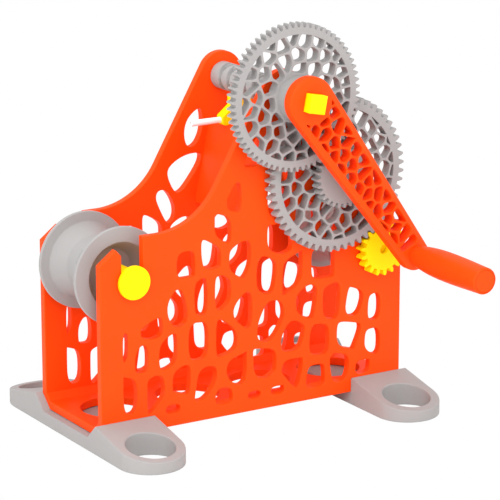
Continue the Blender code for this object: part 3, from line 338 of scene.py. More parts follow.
# The grip's barrel: share of its length from the arm, share of the swell from root to waist
GRIP_BARREL_SHARES = (
    (0, 0), (0.03, 0.12), (0.06, 0.28), (0.1, 0.43), (0.14, 0.55), (0.2, 0.72), (0.26, 0.85),
    (0.33, 0.95), (0.4, 1.0), (0.5, 1.02), (0.58, 1.0), (0.7, 0.94), (0.8, 0.86), (0.9, 0.78),
    (0.96, 0.72),
)


# Flat outlines, in (x, z)


def arc(centre, radius, start, end, steps):
    return [
        (
            centre[0] + radius * cos(start + (end - start) * i / steps),
            centre[1] + radius * sin(start + (end - start) * i / steps),
        )
        for i in range(steps + 1)
    ]


def fine_arc(centre, radius, start, end):
    """An arc whose points are about ARC_STEP apart."""
    steps = max(FEWEST_ARC_STEPS, ceil(abs(end - start) * radius / ARC_STEP))
    return arc(centre, radius, start, end, steps)


def circle(centre, radius, steps=PIN_STEPS):
    return arc(centre, radius, 0, 2 * pi * (steps - 1) / steps, steps - 1)


def rounded_square(side, steps=PIN_STEPS, tilt=0):
    """A square with round corners; steps is a multiple of four."""
    points = []
    reach = (side / 2 - SQUARE_CORNER) * sqrt(2)
    for quarter in range(4):
        middle = tilt + pi / 4 + quarter * pi / 2
        centre = (reach * cos(middle), reach * sin(middle))
        points += arc(centre, SQUARE_CORNER, middle - pi / 4, middle + pi / 4, steps // 4 - 1)
    return points


def area(points):
    return sum(a[0] * b[1] - b[0] * a[1] for a, b in zip(points, points[1:] + points[:1])) / 2


def clip(points, normal, limit):
    """The part of an outline where the distance along normal is at least limit."""
    kept = []
    for i, here in enumerate(points):
        before = points[i - 1]
        depth = here[0] * normal[0] + here[1] * normal[1] - limit
        depth_before = before[0] * normal[0] + before[1] * normal[1] - limit
        if (depth >= 0) != (depth_before >= 0):
            t = depth_before / (depth_before - depth)
            kept.append((before[0] + t * (here[0] - before[0]), before[1] + t * (here[1] - before[1])))
        if depth >= 0:
            kept.append(here)
    return kept


def mixed(start, end, share):
    return tuple(a + share * (b - a) for a, b in zip(start, end))


def beside(points, i):
    """The points before and after one point of a closed outline."""
    return points[i - 1], points[(i + 1) % len(points)]


def corner_curve(start, corner, end, steps):
    """A quadratic curve from start to end, drawn towards the corner."""
    curve = []
    for i in range(steps + 1):
        t = i / steps
        a, b, c = (1 - t) ** 2, 2 * t * (1 - t), t**2
        curve.append(tuple(a * start[k] + b * corner[k] + c * end[k] for k in (0, 1)))
    return curve


def curved(points, corner_share=1 / 2):
    """An outline whose corners are curves that each take a share of both sides."""
    curve = []
    for i, corner in enumerate(points):
        start, end = [mixed(corner, other, corner_share) for other in beside(points, i)]
        curve += corner_curve(start, corner, end, CELL_CORNER_STEPS)
    return spaced(curve)


def spaced(points):
    """An outline without points that lie nearly on one another."""
    kept = [points[-1]]
    for point in points:
        if dist(point, kept[-1]) > CELL_EDGE / 2:
            kept.append(point)
    return kept[1:]


def filleted(points, radius):
    """A closed outline whose corners are rounded, starting at most radius from each corner."""
    rounded = []
    for i, corner in enumerate(points):
        start, end = [
            mixed(corner, other, min(radius / dist(corner, other), LONGEST_FILLET_SHARE))
            for other in beside(points, i)
        ]
        rounded += corner_curve(start, corner, end, FILLET_STEPS)
    return rounded


def cells(seeds, field, rib, discs, corner_share, reaches=None):
    """Rounded cells round the seeds, a rib apart, inside the field and clear of the discs.

    The reaches, where given, limit each cell to a side and up or down from its seed.
    """
    holes = []
    for i, seed in enumerate(seeds):
        cell = field
        for way, reach in enumerate(reaches[i] if reaches else ()):
            for sign in (-1, 1):
                cell = clip(cell, (sign * (1 - way), sign * way), sign * seed[way] - reach)
        limits = []
        for other in seeds:
            middle = ((seed[0] + other[0]) / 2, (seed[1] + other[1]) / 2)
            limits.append((other, middle, rib / 2))
        limits += [(centre, centre, radius) for centre, radius in discs]
        for source, place, clearance in limits:
            if source != seed:
                away = dist(seed, source)
                normal = ((seed[0] - source[0]) / away, (seed[1] - source[1]) / away)
                cell = clip(cell, normal, place[0] * normal[0] + place[1] * normal[1] + clearance)
        if abs(area(cell)) >= SMALLEST_CELL**2:
            holes.append(curved(cell, corner_share))
    return holes


def gear_outline(teeth, module, phase):
    """Involute teeth with a tooth centred on phase, and the radius at their roots."""
    pitch_radius = module * teeth / 2
    base = pitch_radius * cos(PRESSURE_ANGLE)
    root = pitch_radius - module * (1 + ROOT_CLEARANCE_SHARE)
    tip = pitch_radius + module * ADDENDUM_SHARE
    half_tooth = pi / teeth / 2 - BACKLASH / 2 / pitch_radius
    pressure_roll = tan(PRESSURE_ANGLE) - PRESSURE_ANGLE
    flank = []
    for i in range(FLANK_POINTS):
        radius = max(root, base) + (tip - max(root, base)) * i / (FLANK_POINTS - 1)
        roll_angle = acos(base / radius)
        roll = tan(roll_angle) - roll_angle
        flank.append((radius, half_tooth + pressure_roll - roll))
    if root < base:
        flank.insert(0, (root, flank[0][1]))
    points = []
    for tooth in range(teeth):
        middle = phase + 2 * pi * tooth / teeth
        for radius, half in flank:
            points.append((radius * cos(middle - half), radius * sin(middle - half)))
        for radius, half in reversed(flank):
            points.append((radius * cos(middle + half), radius * sin(middle + half)))
    return points, root


# Meshes


def inward(points):
    """At each point of an outline that runs anticlockwise round its material, the step inward."""
    steps = []
    for i, here in enumerate(points):
        before, after = beside(points, i)
        normals = []
        for start, end in ((before, here), (here, after)):
            length = dist(start, end)
            normals.append(((start[1] - end[1]) / length, (end[0] - start[0]) / length))
        (ax, az), (bx, bz) = normals
        share = 1 / max(SHARPEST_MITER, 1 + ax * bx + az * bz)
        steps.append(((ax + bx) * share, (az + bz) * share))
    return steps


def edge_rows(thickness, edge):
    """Rows of a plate's side, front to back: how far in each lies, and how deep."""
    front = []
    for i in range(EDGE_STEPS + 1):
        turn = i / EDGE_STEPS * pi / 2
        front.append((edge * (1 - sin(turn)), edge * (1 - cos(turn)) - thickness / 2))
    return front + [(inset, -depth) for inset, depth in reversed(front)]


def plate(name, outline, holes, thickness, edge=EDGE, hole_edge=CELL_EDGE, slope=None):
    """A flat solid in the XZ plane, centred on Y, whose outline and holes have rounded edges.

    A slope, given as its width and drop, runs round the front inside the outline.
    """
    body = bmesh.new()
    borders = ([], [])
    for points, runs_round, rounding in [(outline, 1, edge)] + [(hole, -1, hole_edge) for hole in holes]:
        loop = points if area(points) * runs_round > 0 else points[::-1]
        steps = inward(loop)
        places = edge_rows(thickness, rounding)
        if slope and points is outline:
            places = [(inset, y + slope[1] if y < 0 else y) for inset, y in places]
            places.insert(0, (slope[0], -thickness / 2))
        rows = []
        for inset, y in places:
            row = [(x + inset * dx, y, z + inset * dz) for (x, z), (dx, dz) in zip(loop, steps)]
            rows.append([body.verts.new(point) for point in row])
        for first, second in zip(rows, rows[1:]):
            for i in range(len(loop)):
                body.faces.new((first[i - 1], first[i], second[i], second[i - 1]))
        for border, row in zip(borders, (rows[0], rows[-1])):
            border.append(row)
    for border in borders:
        cover(body, border)
    return finished(name, body)


def cover(body, rows):
    """Covers the flat between an outline's row of vertices and its holes' rows with triangles."""
    corners = []
    loops = []
    for row in rows:
        loops.append(list(range(len(corners), len(corners) + len(row))))
        corners += row
    flat = [Vector((corner.co.x, corner.co.z)) / MM for corner in corners]
    _, _, triangles, sources, _, _ = delaunay_2d_cdt(flat, [], loops, INSIDE_WITHOUT_HOLES, NEAR)
    for triangle in triangles:
        body.faces.new([corners[sources[i][0]] for i in triangle])


def finished(name, body):
    bmesh.ops.recalc_face_normals(body, faces=body.faces)
    mesh = bpy.data.meshes.new(name)
    body.to_mesh(mesh)
    body.free()
    return mesh


def skin(name, rings, closed=False):
    """A solid stretched over rings of points; closed joins the last ring to the first."""
    body = bmesh.new()
    rows = [[body.verts.new(point) for point in ring] for ring in rings]
    pairs = list(zip(rows, rows[1:]))
    if closed:
        pairs.append((rows[-1], rows[0]))
    for first, second in pairs:
        for i in range(len(first)):
            body.faces.new((first[i - 1], first[i], second[i], second[i - 1]))
    if not closed:
        body.faces.new(rows[0])
        body.faces.new(rows[-1])
    return finished(name, body)


def upright(points, y):
    return [(x, y, z) for x, z in points]


def round_ring(radius, y, steps=ROUND_STEPS, tilt=0):
    return upright(arc((0, 0), radius, tilt, tilt + 2 * pi * (steps - 1) / steps, steps - 1), y)


def square_ring(side, y, steps=ROUND_STEPS, tilt=0):
    return upright(rounded_square(side, steps, tilt), y)


def turned(name, profile, steps=ROUND_STEPS, closed=False):
    """A round solid about Y from (radius, y) points."""
    return skin(name, [round_ring(radius, y, steps) for radius, y in profile], closed)


def ring_between(name, outer, inner, start, end, edge=EDGE):
    """A ring about Y with rounded edges."""
    profile = [(outer, start), (outer, end), (inner, end), (inner, start)]
    return turned(name, filleted(profile, edge), closed=True)


def combined(mesh, tool, operation):
    """The union or difference of two meshes."""
    pair = [bpy.data.objects.new("operand", each) for each in (mesh, tool)]
    for operand in pair:
        bpy.context.scene.collection.objects.link(operand)
    modifier = pair[0].modifiers.new("combine", "BOOLEAN")
    modifier.operation = operation
    modifier.solver = "EXACT"
    modifier.object = pair[1]
    shaped = pair[0].evaluated_get(bpy.context.evaluated_depsgraph_get())
    made = bpy.data.meshes.new_from_object(shaped)
    for operand in pair:
        bpy.data.objects.remove(operand)
    made.name = mesh.name
    return made


def show(node, mesh, finish, body, place=(0, 0, 0), stands_for=()):
    """A finished piece in place of its CAD node, riding on that node's body."""
    piece = bpy.data.objects.new(node + "_shape", mesh)
    bpy.context.scene.collection.objects.link(piece)
    piece.location = place
    mesh.materials.clear()
    mesh.materials.append(finish)
    mesh.shade_smooth()
    mesh.set_sharp_from_angle(angle=SMOOTH_ANGLE)
    normals = piece.modifiers.new("normals", "WEIGHTED_NORMAL")
    normals.keep_sharp = True
    normals.weight = NORMAL_WEIGHT
    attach(piece, body)
    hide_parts(node, *stands_for)


# Materials


def plastic(slot, colour, shade, roughness, grain):
    """Satin moulded plastic: the colour drifts a little towards its shade, over a fine grain."""
    made = bpy.data.materials.new(slot + "_finish")
    made["slot"] = slot
    made.use_nodes = True
    nodes = made.node_tree.nodes
    links = made.node_tree.links
    shader = nodes["Principled BSDF"]
    shader.inputs["Specular IOR Level"].default_value = GLOSS
    place = nodes.new("ShaderNodeTexCoord")

    def noise(scale, detail):
        texture = nodes.new("ShaderNodeTexNoise")
        texture.inputs["Scale"].default_value = scale
        texture.inputs["Detail"].default_value = detail
        links.new(place.outputs["Object"], texture.inputs["Vector"])
        return texture

    drift = nodes.new("ShaderNodeMix")
    drift.data_type = "RGBA"
    drift.inputs["A"].default_value = (*colour, 1)
    drift.inputs["B"].default_value = (*shade, 1)
    links.new(noise(*COLOUR_NOISE).outputs["Fac"], drift.inputs["Factor"])
    links.new(drift.outputs["Result"], shader.inputs["Base Color"])
    spread = nodes.new("ShaderNodeMapRange")
    spread.inputs["To Min"].default_value = roughness + ROUGHNESS_SPREAD[0]
    spread.inputs["To Max"].default_value = roughness + ROUGHNESS_SPREAD[1]
    links.new(noise(*ROUGHNESS_NOISE).outputs["Fac"], spread.inputs["Value"])
    links.new(spread.outputs["Result"], shader.inputs["Roughness"])
    bump = nodes.new("ShaderNodeBump")
    bump.inputs["Strength"].default_value = grain
    bump.inputs["Distance"].default_value = GRAIN_DEPTH
    links.new(noise(*GRAIN_NOISE).outputs["Fac"], bump.inputs["Height"])
    links.new(bump.outputs["Normal"], shader.inputs["Normal"])
    return made


ORANGE = plastic("orange_plastic", (1.0, 0.070, 0.003), (1.0, 0.060, 0.002), roughness=0.45, grain=0.25)
GREY = plastic("grey_plastic", (0.35, 0.34, 0.335), (0.32, 0.31, 0.305), roughness=0.5, grain=0.25)
YELLOW = plastic("yellow_plastic", (1.0, 0.74, 0.001), (1.0, 0.70, 0.001), roughness=0.45, grain=0.2)
WHITE = plastic("white_tube", (0.95, 0.95, 0.95), (0.92, 0.92, 0.92), roughness=0.35, grain=0.1)


# Frame


def crest(inset):
    """A side wall's top from the take-up end over the crank to the shoulder, moved inward."""
    end_radius = RIGHT_END - TAKE_UP[0] - inset
    apex_radius = APEX_RADIUS - inset
    rise_radius = RISE_RADIUS + inset
    level = SHOULDER_HEIGHT - inset
    lean = GEAR_LINE + acos((apex_radius - end_radius) / dist(TAKE_UP, CRANK))
    points = fine_arc(TAKE_UP, end_radius, 0, lean)
    points += fine_arc(CRANK, apex_radius, lean, pi / 2 + RISE_ANGLE)
    top = points[-1]
    drop = top[1] - level - rise_radius * (1 - cos(RISE_ANGLE))
    centre = (top[0] - drop / tan(RISE_ANGLE) - rise_radius * sin(RISE_ANGLE), level + rise_radius)
    return points + fine_arc(centre, rise_radius, RISE_ANGLE - pi / 2, -pi / 2)


def wall_top():
    """The side wall's outline from the take-up end over the crank to the supply post."""
    slot = [(SUPPLY[0] + SLOT_RADIUS, SHOULDER_HEIGHT), *fine_arc(SUPPLY, SLOT_RADIUS, 0, -pi)]
    post = [
        (SUPPLY[0] - SLOT_RADIUS, POST_BACK_HEIGHT),
        (LEFT_END + POST_PEAK_INSET, POST_PEAK_HEIGHT),
        (LEFT_END, POST_FRONT_HEIGHT),
    ]
    return crest(0) + slot + post


def cell_field():
    """The outline, inside the side wall's, that its cells keep to."""
    floor = FLOOR_TOP + WALL_FOOT_MARGIN
    points = [(LEFT_END + WALL_MARGIN, floor), (RIGHT_END - WALL_MARGIN, floor)]
    points += crest(WALL_MARGIN)
    points.append((LEFT_END + WALL_MARGIN, SHOULDER_HEIGHT - WALL_MARGIN))
    points = clip(points, (1, 0), LEFT_END + WALL_END_MARGIN)
    return clip(points, (-1, 0), WALL_END_MARGIN - RIGHT_END)


def frame_section():
    """Half of the frame's section, from the middle of its floor out and up.

    Each row is how far along the unfolded plate it lies, its outer (y, z) and its inner (y, z).
    """
    flat = FLOOR_HOLE_RADIUS + 2 * CELL_EDGE
    shelf = INNER_HALF - FLOOR_CHAMFER
    lip = FLOOR_TOP + FLOOR_CHAMFER
    outer = [(shelf, FRAME_LIFT)]
    outer += arc((HALF_WIDTH - EDGE, FRAME_LIFT + EDGE), EDGE, -pi / 2, 0, EDGE_STEPS)
    outer.append((HALF_WIDTH, lip))
    along = [shelf]
    for start, end in zip(outer, outer[1:]):
        along.append(along[-1] + dist(start, end))
    rows = [(0, (0, FRAME_LIFT), (0, FLOOR_TOP)), (flat, (flat, FRAME_LIFT), (flat, FLOOR_TOP))]
    for reach, point in zip(along, outer):
        share = (reach - shelf) / (along[-1] - shelf)
        rows.append((reach, point, mixed((shelf, FLOOR_TOP), (INNER_HALF, lip), share)))
    return rows


def foot_seats():
    """Wedges that cut the frame's bottom corners to the feet's troughs, over the feet's width only."""
    inner = HALF_WIDTH - BEVEL_RUN
    slope = BEVEL_RISE / BEVEL_RUN
    half = size_x("left_foot") / 2 + FIT
    section = []
    for y, z in ((inner, FRAME_LIFT), (HALF_WIDTH, FRAME_LIFT), (HALF_WIDTH, FRAME_LIFT + BEVEL_RISE)):
        beyond = OVERRUN if y > inner else -OVERRUN
        section.append((y + beyond, z + (beyond if z > FRAME_LIFT else -OVERRUN) * slope))
    body = bmesh.new()
    for node in ("left_foot", "right_foot"):
        faces = (middle_x(node) - half, middle_x(node) + half)
        for side in (-1, 1):
            ends = [[body.verts.new((x, side * y, z)) for y, z in section] for x in faces]
            for end in ends:
                body.faces.new(end)
            for i in range(len(section)):
                body.faces.new((ends[0][i - 1], ends[0][i], ends[1][i], ends[1][i - 1]))
    return finished("foot_seats", body)


def u_frame():
    """Both side walls and the floor, as one plate that is cut out flat and then folded up."""
    section = frame_section()
    wall_along, (_, wall_start), _ = section[-1]
    wall = HALF_WIDTH - INNER_HALF
    length = RIGHT_END - LEFT_END
    pitch = FLOOR_HOLE_PITCH_SHARE * length
    first = (LEFT_END + RIGHT_END - (FLOOR_HOLES - 1) * pitch) / 2
    holes = [circle((first + i * pitch, 0), FLOOR_HOLE_RADIUS, ROUND_STEPS) for i in range(FLOOR_HOLES)]

    def placed(u, v):
        return LEFT_END + u / THOUSANDTHS * length, v / THOUSANDTHS * CRANK[1]

    def unfolded(points, side):
        return [(x, side * (wall_along + z - wall_start)) for x, z in points]

    for side in (-1, 1):
        rows = [*WALL_CELLS, *RISE_CELLS]
        discs = [(place, WALL_BOSS_RADIUS) for place in (SUPPLY, TAKE_UP, CRANK)]
        if side < 0:
            discs.append((AXLE, AXLE_BOSS_RADIUS))
            bores = [(TAKE_UP, SPINDLE_RADIUS), (AXLE, AXLE_RADIUS), (CRANK, JOURNAL_RADIUS)]
        else:
            bores = [(TAKE_UP, TAKE_UP_TAIL_RADIUS), (CRANK, TAIL_RADIUS)]
            # The rise's seeds, without a reach of their own, only keep the cells next to them off
            rows = [*WALL_CELLS, *((u, v, 0, 0) for u, v, _, _ in RISE_CELLS)]
            for corners in FAR_RISE_CORNERS:
                holes.append(unfolded(curved([placed(u, v) for u, v in corners]), side))
        seeds = [placed(u, v) for u, v, _, _ in rows]
        reaches = [(u / THOUSANDTHS * length, v / THOUSANDTHS * CRANK[1]) for _, _, u, v in rows]
        for hole in cells(seeds, cell_field(), WALL_RIB, discs, WALL_CORNER_SHARE, reaches):
            holes.append(unfolded(hole, side))
        for place, radius in bores:
            holes.append(unfolded(circle(place, radius + FIT), side))
    outline = unfolded(wall_top(), 1) + unfolded(wall_top(), -1)[::-1]
    mesh = plate("u_frame", outline, holes, wall)
    creases = [along for along, _, _ in section[1:]]
    bend(mesh, creases, lambda x, depth, along: (x, *folded(along, 1 / 2 + depth / wall, section)))
    mesh = combined(mesh, foot_seats(), "DIFFERENCE")
    show("near_side_wall", mesh, ORANGE, "frame", stands_for=("far_side_wall", "floor_pan"))


def bend(mesh, creases, moved):
    """Cuts a flat plate along its creases, on both sides of its middle, and moves its points."""
    body = bmesh.new()
    body.from_mesh(mesh)
    for crease in creases:
        for side in (-1, 1):
            everything = body.verts[:] + body.edges[:] + body.faces[:]
            place = (0, 0, side * crease)
            bmesh.ops.bisect_plane(body, geom=everything, dist=WELD, plane_co=place, plane_no=(0, 0, 1))
    for vertex in body.verts:
        vertex.co = moved(*vertex.co)
    bmesh.ops.recalc_face_normals(body, faces=body.faces)
    body.to_mesh(mesh)
    body.free()


def folded(along, inner_share, section):
    """Where a point of the frame's plate goes: how far along it is, and how near its inner face."""
    reach = abs(along)
    last = section[-1]
    if reach >= last[0]:
        outer, inner = [(y, z + reach - last[0]) for y, z in last[1:]]
    else:
        start, end = next((a, b) for a, b in zip(section, section[1:]) if reach <= b[0])
        share = (reach - start[0]) / (end[0] - start[0])
        outer, inner = [mixed(start[k], end[k], share) for k in (1, 2)]
    y, z = mixed(outer, inner, inner_share)
    return (y if along >= 0 else -y), z


def web_line():
    """Top of the cross web's middle plane, and the unit step down along it."""
    step = (-sin(WEB_SLOPE), -cos(WEB_SLOPE))
    return (CRANK[0] - WEB_TOP_INSET, CRANK[1] - SADDLE_DROP), step


def cross_web():
    """The slanted plate between the walls, let into them a little."""
    top, step = web_line()
    half = WEB_THICKNESS / 2
    across = (-step[1], step[0])
    crown = (top[0] + step[0] * half, top[1] + step[1] * half)
    end = (top[0] + step[0] * WEB_LENGTH, top[1] + step[1] * WEB_LENGTH)
    tilt = atan2(across[1], across[0])
    outline = arc(crown, half, tilt, tilt + pi, PIN_STEPS // 4)
    outline += [(end[0] + across[0] * side, end[1] + across[1] * side) for side in (-half, half)]
    mesh = plate("cross_web", outline, [], 2 * INNER_HALF + FIT, FIT / 2)
    show("cross_web", mesh, ORANGE, "frame")


def foot(node):
    """A bar with a lobe at each end, whose top is troughed for the frame's bottom."""
    lobe = size_x(node) / 2
    half = high(node).y
    ridge = (HALF_WIDTH + FIT, FRAME_LIFT + BEVEL_RISE)
    trough = (HALF_WIDTH - BEVEL_RUN + FIT, FRAME_LIFT - FIT)
    tip = (half, FOOT_TIP_HEIGHT)
    thickness = FOOT_TIP_HEIGHT - FIT
    plan = arc((0, half - lobe), lobe, 0, pi, ROUND_STEPS // 2)
    plan += arc((0, lobe - half), lobe, pi, 2 * pi, ROUND_STEPS // 2)
    holes = [circle((0, side * (half - lobe)), LOBE_HOLE_RADIUS, ROUND_STEPS) for side in (-1, 1)]

    def raised(x, depth, y):
        reach = abs(y)
        if reach <= trough[0]:
            top = trough[1]
        else:
            start, end = (trough, ridge) if reach <= ridge[0] else (ridge, tip)
            top = start[1] + (end[1] - start[1]) * (reach - start[0]) / (end[0] - start[0])
        return (x, y, top - thickness / 2 - depth if depth < 0 else thickness / 2 - depth)

    mesh = plate(node, plan, holes, thickness, FOOT_EDGE, FOOT_EDGE)
    bend(mesh, (trough[0], ridge[0]), raised)
    show(node, mesh, GREY, "frame", (middle_x(node), 0, 0))


# Gears


def shifted(mesh, y):
    mesh.transform(Matrix.Translation((0, y, 0)))
    return mesh


def at(place, y=0):
    return (place[0], y, place[1])


def webbed_gear(name, teeth, module, centres, hub, bore, thickness):
    """A gear with a web of irregular cells between its hub and its toothed rim."""
    outline, root = gear_outline(teeth, module, GEAR_LINE)
    pitch_radius = module * teeth / 2
    seeds = [(u / HUNDREDTHS * pitch_radius, v / HUNDREDTHS * pitch_radius) for u, v in centres]
    field = circle((0, 0), root - RIM_BAND, ROUND_STEPS)
    holes = cells(seeds, field, GEAR_RIB, [((0, 0), hub + GEAR_RIB)], GEAR_CORNER_SHARE)
    return plate(name, outline, [*holes, bore], thickness, TOOTH_EDGE, GEAR_CELL_EDGE)


def crank_gear():
    """The large gear on the crank's shaft, with a hub on both faces."""
    node = "crank_gear"
    back = low("intermediate_gear").y - GEAR_SPACE
    front = low("intermediate_pinion").y
    key = rounded_square(SQUARE_SIDE + 2 * FIT, tilt=SQUARE_TILT)
    mesh = webbed_gear(
        node, CRANK_TEETH, CRANK_MODULE, CRANK_GEAR_CELLS, CRANK_HUB_RADIUS, key, back - front
    )
    shifted(mesh, (back + front) / 2)
    inner = (SQUARE_SIDE / 2 + FIT) * sqrt(2) + FIT
    hubs = (
        (CRANK_HUB_RADIUS, low(node).y, front + EDGE),
        (CRANK_BACK_HUB_RADIUS, back - EDGE, high(node).y),
    )
    for radius, start, end in hubs:
        hub = ring_between("crank_gear_hub", radius, inner, start, end, EDGE / 2)
        mesh = combined(mesh, hub, "UNION")
    show(node, mesh, GREY, "crank", at(CRANK))


def intermediate_gears():
    """The large gear behind, and the small one whose square spigot turns it."""
    node = "intermediate_gear"
    key = rounded_square(KEY_SIDE + 2 * FIT)
    mesh = webbed_gear(
        node, DRIVE_TEETH, DRIVE_MODULE, DRIVE_GEAR_CELLS, DRIVE_HUB_RADIUS, key, size_y(node)
    )
    show(node, mesh, GREY, "intermediate", at(AXLE, middle_y(node)))
    back = low(node).y - FIT
    end = high(node).y
    node = "intermediate_pinion"
    front = low(node).y
    outline, _ = gear_outline(PINION_TEETH, CRANK_MODULE, GEAR_LINE + pi + pi / PINION_TEETH)
    bore = circle((0, 0), AXLE_HEAD_RADIUS + FIT)
    mesh = shifted(plate(node, outline, [bore], back - front, TOOTH_EDGE), (back + front) / 2)
    bore = circle((0, 0), AXLE_RADIUS + FIT)
    spigot = plate("pinion_spigot", rounded_square(KEY_SIDE), [bore], end - back + EDGE, FIT, FIT)
    shifted(spigot, (back - EDGE + end) / 2)
    show(node, combined(mesh, spigot, "UNION"), GREY, "intermediate", at(AXLE))


def output_pinion():
    """The gear on the take-up spindle, with a square socket behind its eye."""
    node = "output_pinion"
    length = size_y(node)
    outline, _ = gear_outline(OUTPUT_TEETH, DRIVE_MODULE, GEAR_LINE + pi + pi / OUTPUT_TEETH)
    mesh = plate(node, outline, [circle((0, 0), EYE_RADIUS)], length, TOOTH_EDGE)
    reach = high(node).y - low("take_up_shaft").y + FIT
    socket = plate("socket", rounded_square(TENON_SIDE + 2 * FIT), [], 2 * reach, FIT / 2)
    shifted(socket, length / 2)
    show(node, combined(mesh, socket, "DIFFERENCE"), YELLOW, "take_up", at(TAKE_UP, middle_y(node)))


# Crank


def tail_rings(radius, start, end):
    """The round tail of a shaft, bevelled at its end."""
    return [round_ring(radius, start), round_ring(radius, end - EDGE), round_ring(radius - EDGE, end)]


def drive_shaft():
    """Square end for the arm and gear, journal in the near wall, square core, tail in the far wall."""
    node = "drive_shaft"
    front = low(node).y
    shoulder = -HALF_WIDTH - SEAT_GAP
    tail_start = INNER_HALF - SEAT_GAP
    rings = [
        square_ring(SQUARE_SIDE - 2 * EDGE, front, tilt=SQUARE_TILT),
        square_ring(SQUARE_SIDE, front + EDGE, tilt=SQUARE_TILT),
        square_ring(SQUARE_SIDE, shoulder, tilt=SQUARE_TILT),
        round_ring(JOURNAL_RADIUS, shoulder, tilt=SQUARE_TILT),
        round_ring(JOURNAL_RADIUS, -INNER_HALF),
        square_ring(CORE_SIDE, -INNER_HALF),
        square_ring(CORE_SIDE, tail_start),
        *tail_rings(TAIL_RADIUS, tail_start, high(node).y),
    ]
    show(node, skin(node, rings), YELLOW, "crank", at(CRANK))
    collar("drive_shaft_collar", TAIL_RADIUS, "crank", CRANK)


def collar(node, bore, body, place):
    """A ring with rounded edges on the tail of a shaft."""
    mesh = ring_between(node, size_x(node) / 2, bore + FIT, low(node).y, high(node).y)
    show(node, mesh, YELLOW, body, at(place))


def groove_depth(y, angle, half):
    """Depth of the two crossing grooves of the reversing screw."""
    if abs(y) > half - PLAIN_END:
        return 0
    depth = 0
    flank = (GROOVE_MOUTH - GROOVE_FLOOR) / 2
    for hand in (-1, 1):
        turn = ((y - SCREW_SHIFT) / SCREW_PITCH + hand * (angle - pi) / (2 * pi) + 1 / 2) % 1 - 1 / 2
        share = min(1, max(0, (GROOVE_MOUTH / 2 - abs(turn) * SCREW_PITCH) / flank))
        depth = max(depth, GROOVE_DEPTH * share * share * (3 - 2 * share))
    return depth


def traverse_screw():
    """The reversing screw, with its square bore."""
    node = "traverse_screw"
    half = high(node).y
    rows = ceil(2 * half / SCREW_ROW)

    def end_rings(y):
        bore = square_ring(CORE_SIDE + 2 * FIT, y, SCREW_STEPS)
        return [bore, round_ring(SCREW_RADIUS - EDGE, y, SCREW_STEPS)]

    rings = end_rings(-half)
    for row in range(1, rows):
        y = -half + 2 * half * row / rows
        ring = []
        for i in range(SCREW_STEPS):
            angle = 2 * pi * i / SCREW_STEPS
            radius = SCREW_RADIUS - groove_depth(y, angle, half)
            ring.append((radius * cos(angle), y, radius * sin(angle)))
        rings.append(ring)
    rings += reversed(end_rings(half))
    show(node, skin(node, rings, closed=True), GREY, "crank", at(CRANK))


def crank_arm():
    """The arm: two sloped rails round a web of cells, from the hub to the grip's pin."""
    node = "crank_arm"
    reach = dist(GRIP, CRANK)
    angle = atan2(GRIP[1] - CRANK[1], GRIP[0] - CRANK[0])
    along = (cos(angle), sin(angle))
    left = (-along[1], along[0])
    tip = (reach * along[0], reach * along[1])

    def outline(inset):
        hub_radius = ARM_HUB_RADIUS - inset
        tip_radius = ARM_TIP_RADIUS - inset
        spread = acos((hub_radius - tip_radius) / reach)
        points = fine_arc((0, 0), hub_radius, angle + spread, angle - spread + 2 * pi)
        return points + fine_arc(tip, tip_radius, angle - spread, angle + spread)

    seeds = []
    for u, v in ARM_CELLS:
        ahead, aside = u / HUNDREDTHS * reach, v / HUNDREDTHS * ARM_HUB_RADIUS
        seeds.append(tuple(ahead * along[k] + aside * left[k] for k in (0, 1)))
    discs = [((0, 0), ARM_BOSS_RADIUS), (tip, ARM_TIP_BOSS_RADIUS)]
    holes = cells(seeds, outline(ARM_RAIL), ARM_RIB, discs, ARM_CORNER_SHARE)
    holes.append(rounded_square(SQUARE_SIDE + 2 * FIT, tilt=SQUARE_TILT))
    holes.append(circle(tip, PIN_RADIUS + FIT))
    slope = (ARM_SLOPE_WIDTH, ARM_SLOPE_DROP)
    mesh = plate(node, outline(0), holes, size_y(node), ARM_EDGE, ARM_CELL_EDGE, slope)
    show(node, mesh, ORANGE, "crank", at(CRANK, middle_y(node)))


def bolt(node, finish, body, place, head, radius, tip_edge, steps=ROUND_STEPS):
    """A pin with a head in front; head is the head's radius and its length."""
    front, back = low(node).y, high(node).y
    head_radius, head_length = head
    profile = [
        (head_radius - FIT, front),
        (head_radius, front + FIT),
        (head_radius, front + head_length),
        (radius, front + head_length),
        (radius, back - tip_edge),
        (radius - tip_edge, back),
    ]
    show(node, turned(node, profile, steps), finish, body, at(place))


def handle():
    """The grip, the pin that it turns on, and the nut behind the arm."""
    node = "handle_grip"
    end, root = low(node).y, high(node).y
    seat = PIN_HEAD_RADIUS + FIT
    seat_floor = end + PIN_HEAD_LENGTH + FIT
    profile = []
    for along_share, swell_share in GRIP_BARREL_SHARES:
        radius = GRIP_ROOT_RADIUS + (GRIP_WAIST_RADIUS - GRIP_ROOT_RADIUS) * swell_share
        profile.append((radius, root - (root - end) * along_share))
    profile += arc((GRIP_END_RADIUS - GRIP_EDGE, end + GRIP_EDGE), GRIP_EDGE, 0, -pi / 2, EDGE_STEPS)
    profile += [(seat + FIT, end), (seat, end + FIT), (seat, seat_floor)]
    profile += [(PIN_RADIUS + FIT, seat_floor), (PIN_RADIUS + FIT, root)]
    show(node, turned(node, profile, closed=True), ORANGE, "grip", at(GRIP))
    bolt("handle_pin", ORANGE, "crank", GRIP, (PIN_HEAD_RADIUS, PIN_HEAD_LENGTH), PIN_RADIUS, EDGE)
    nut("handle_nut", PIN_RADIUS, "crank", GRIP)


def nut(node, bore, body, place):
    """A hexagonal nut."""
    hexagon = filleted(circle((0, 0), size_x(node) / 2, 6), EDGE)
    mesh = plate(node, hexagon, [circle((0, 0), bore + FIT)], size_y(node))
    show(node, mesh, GREY, body, at(place, middle_y(node)))


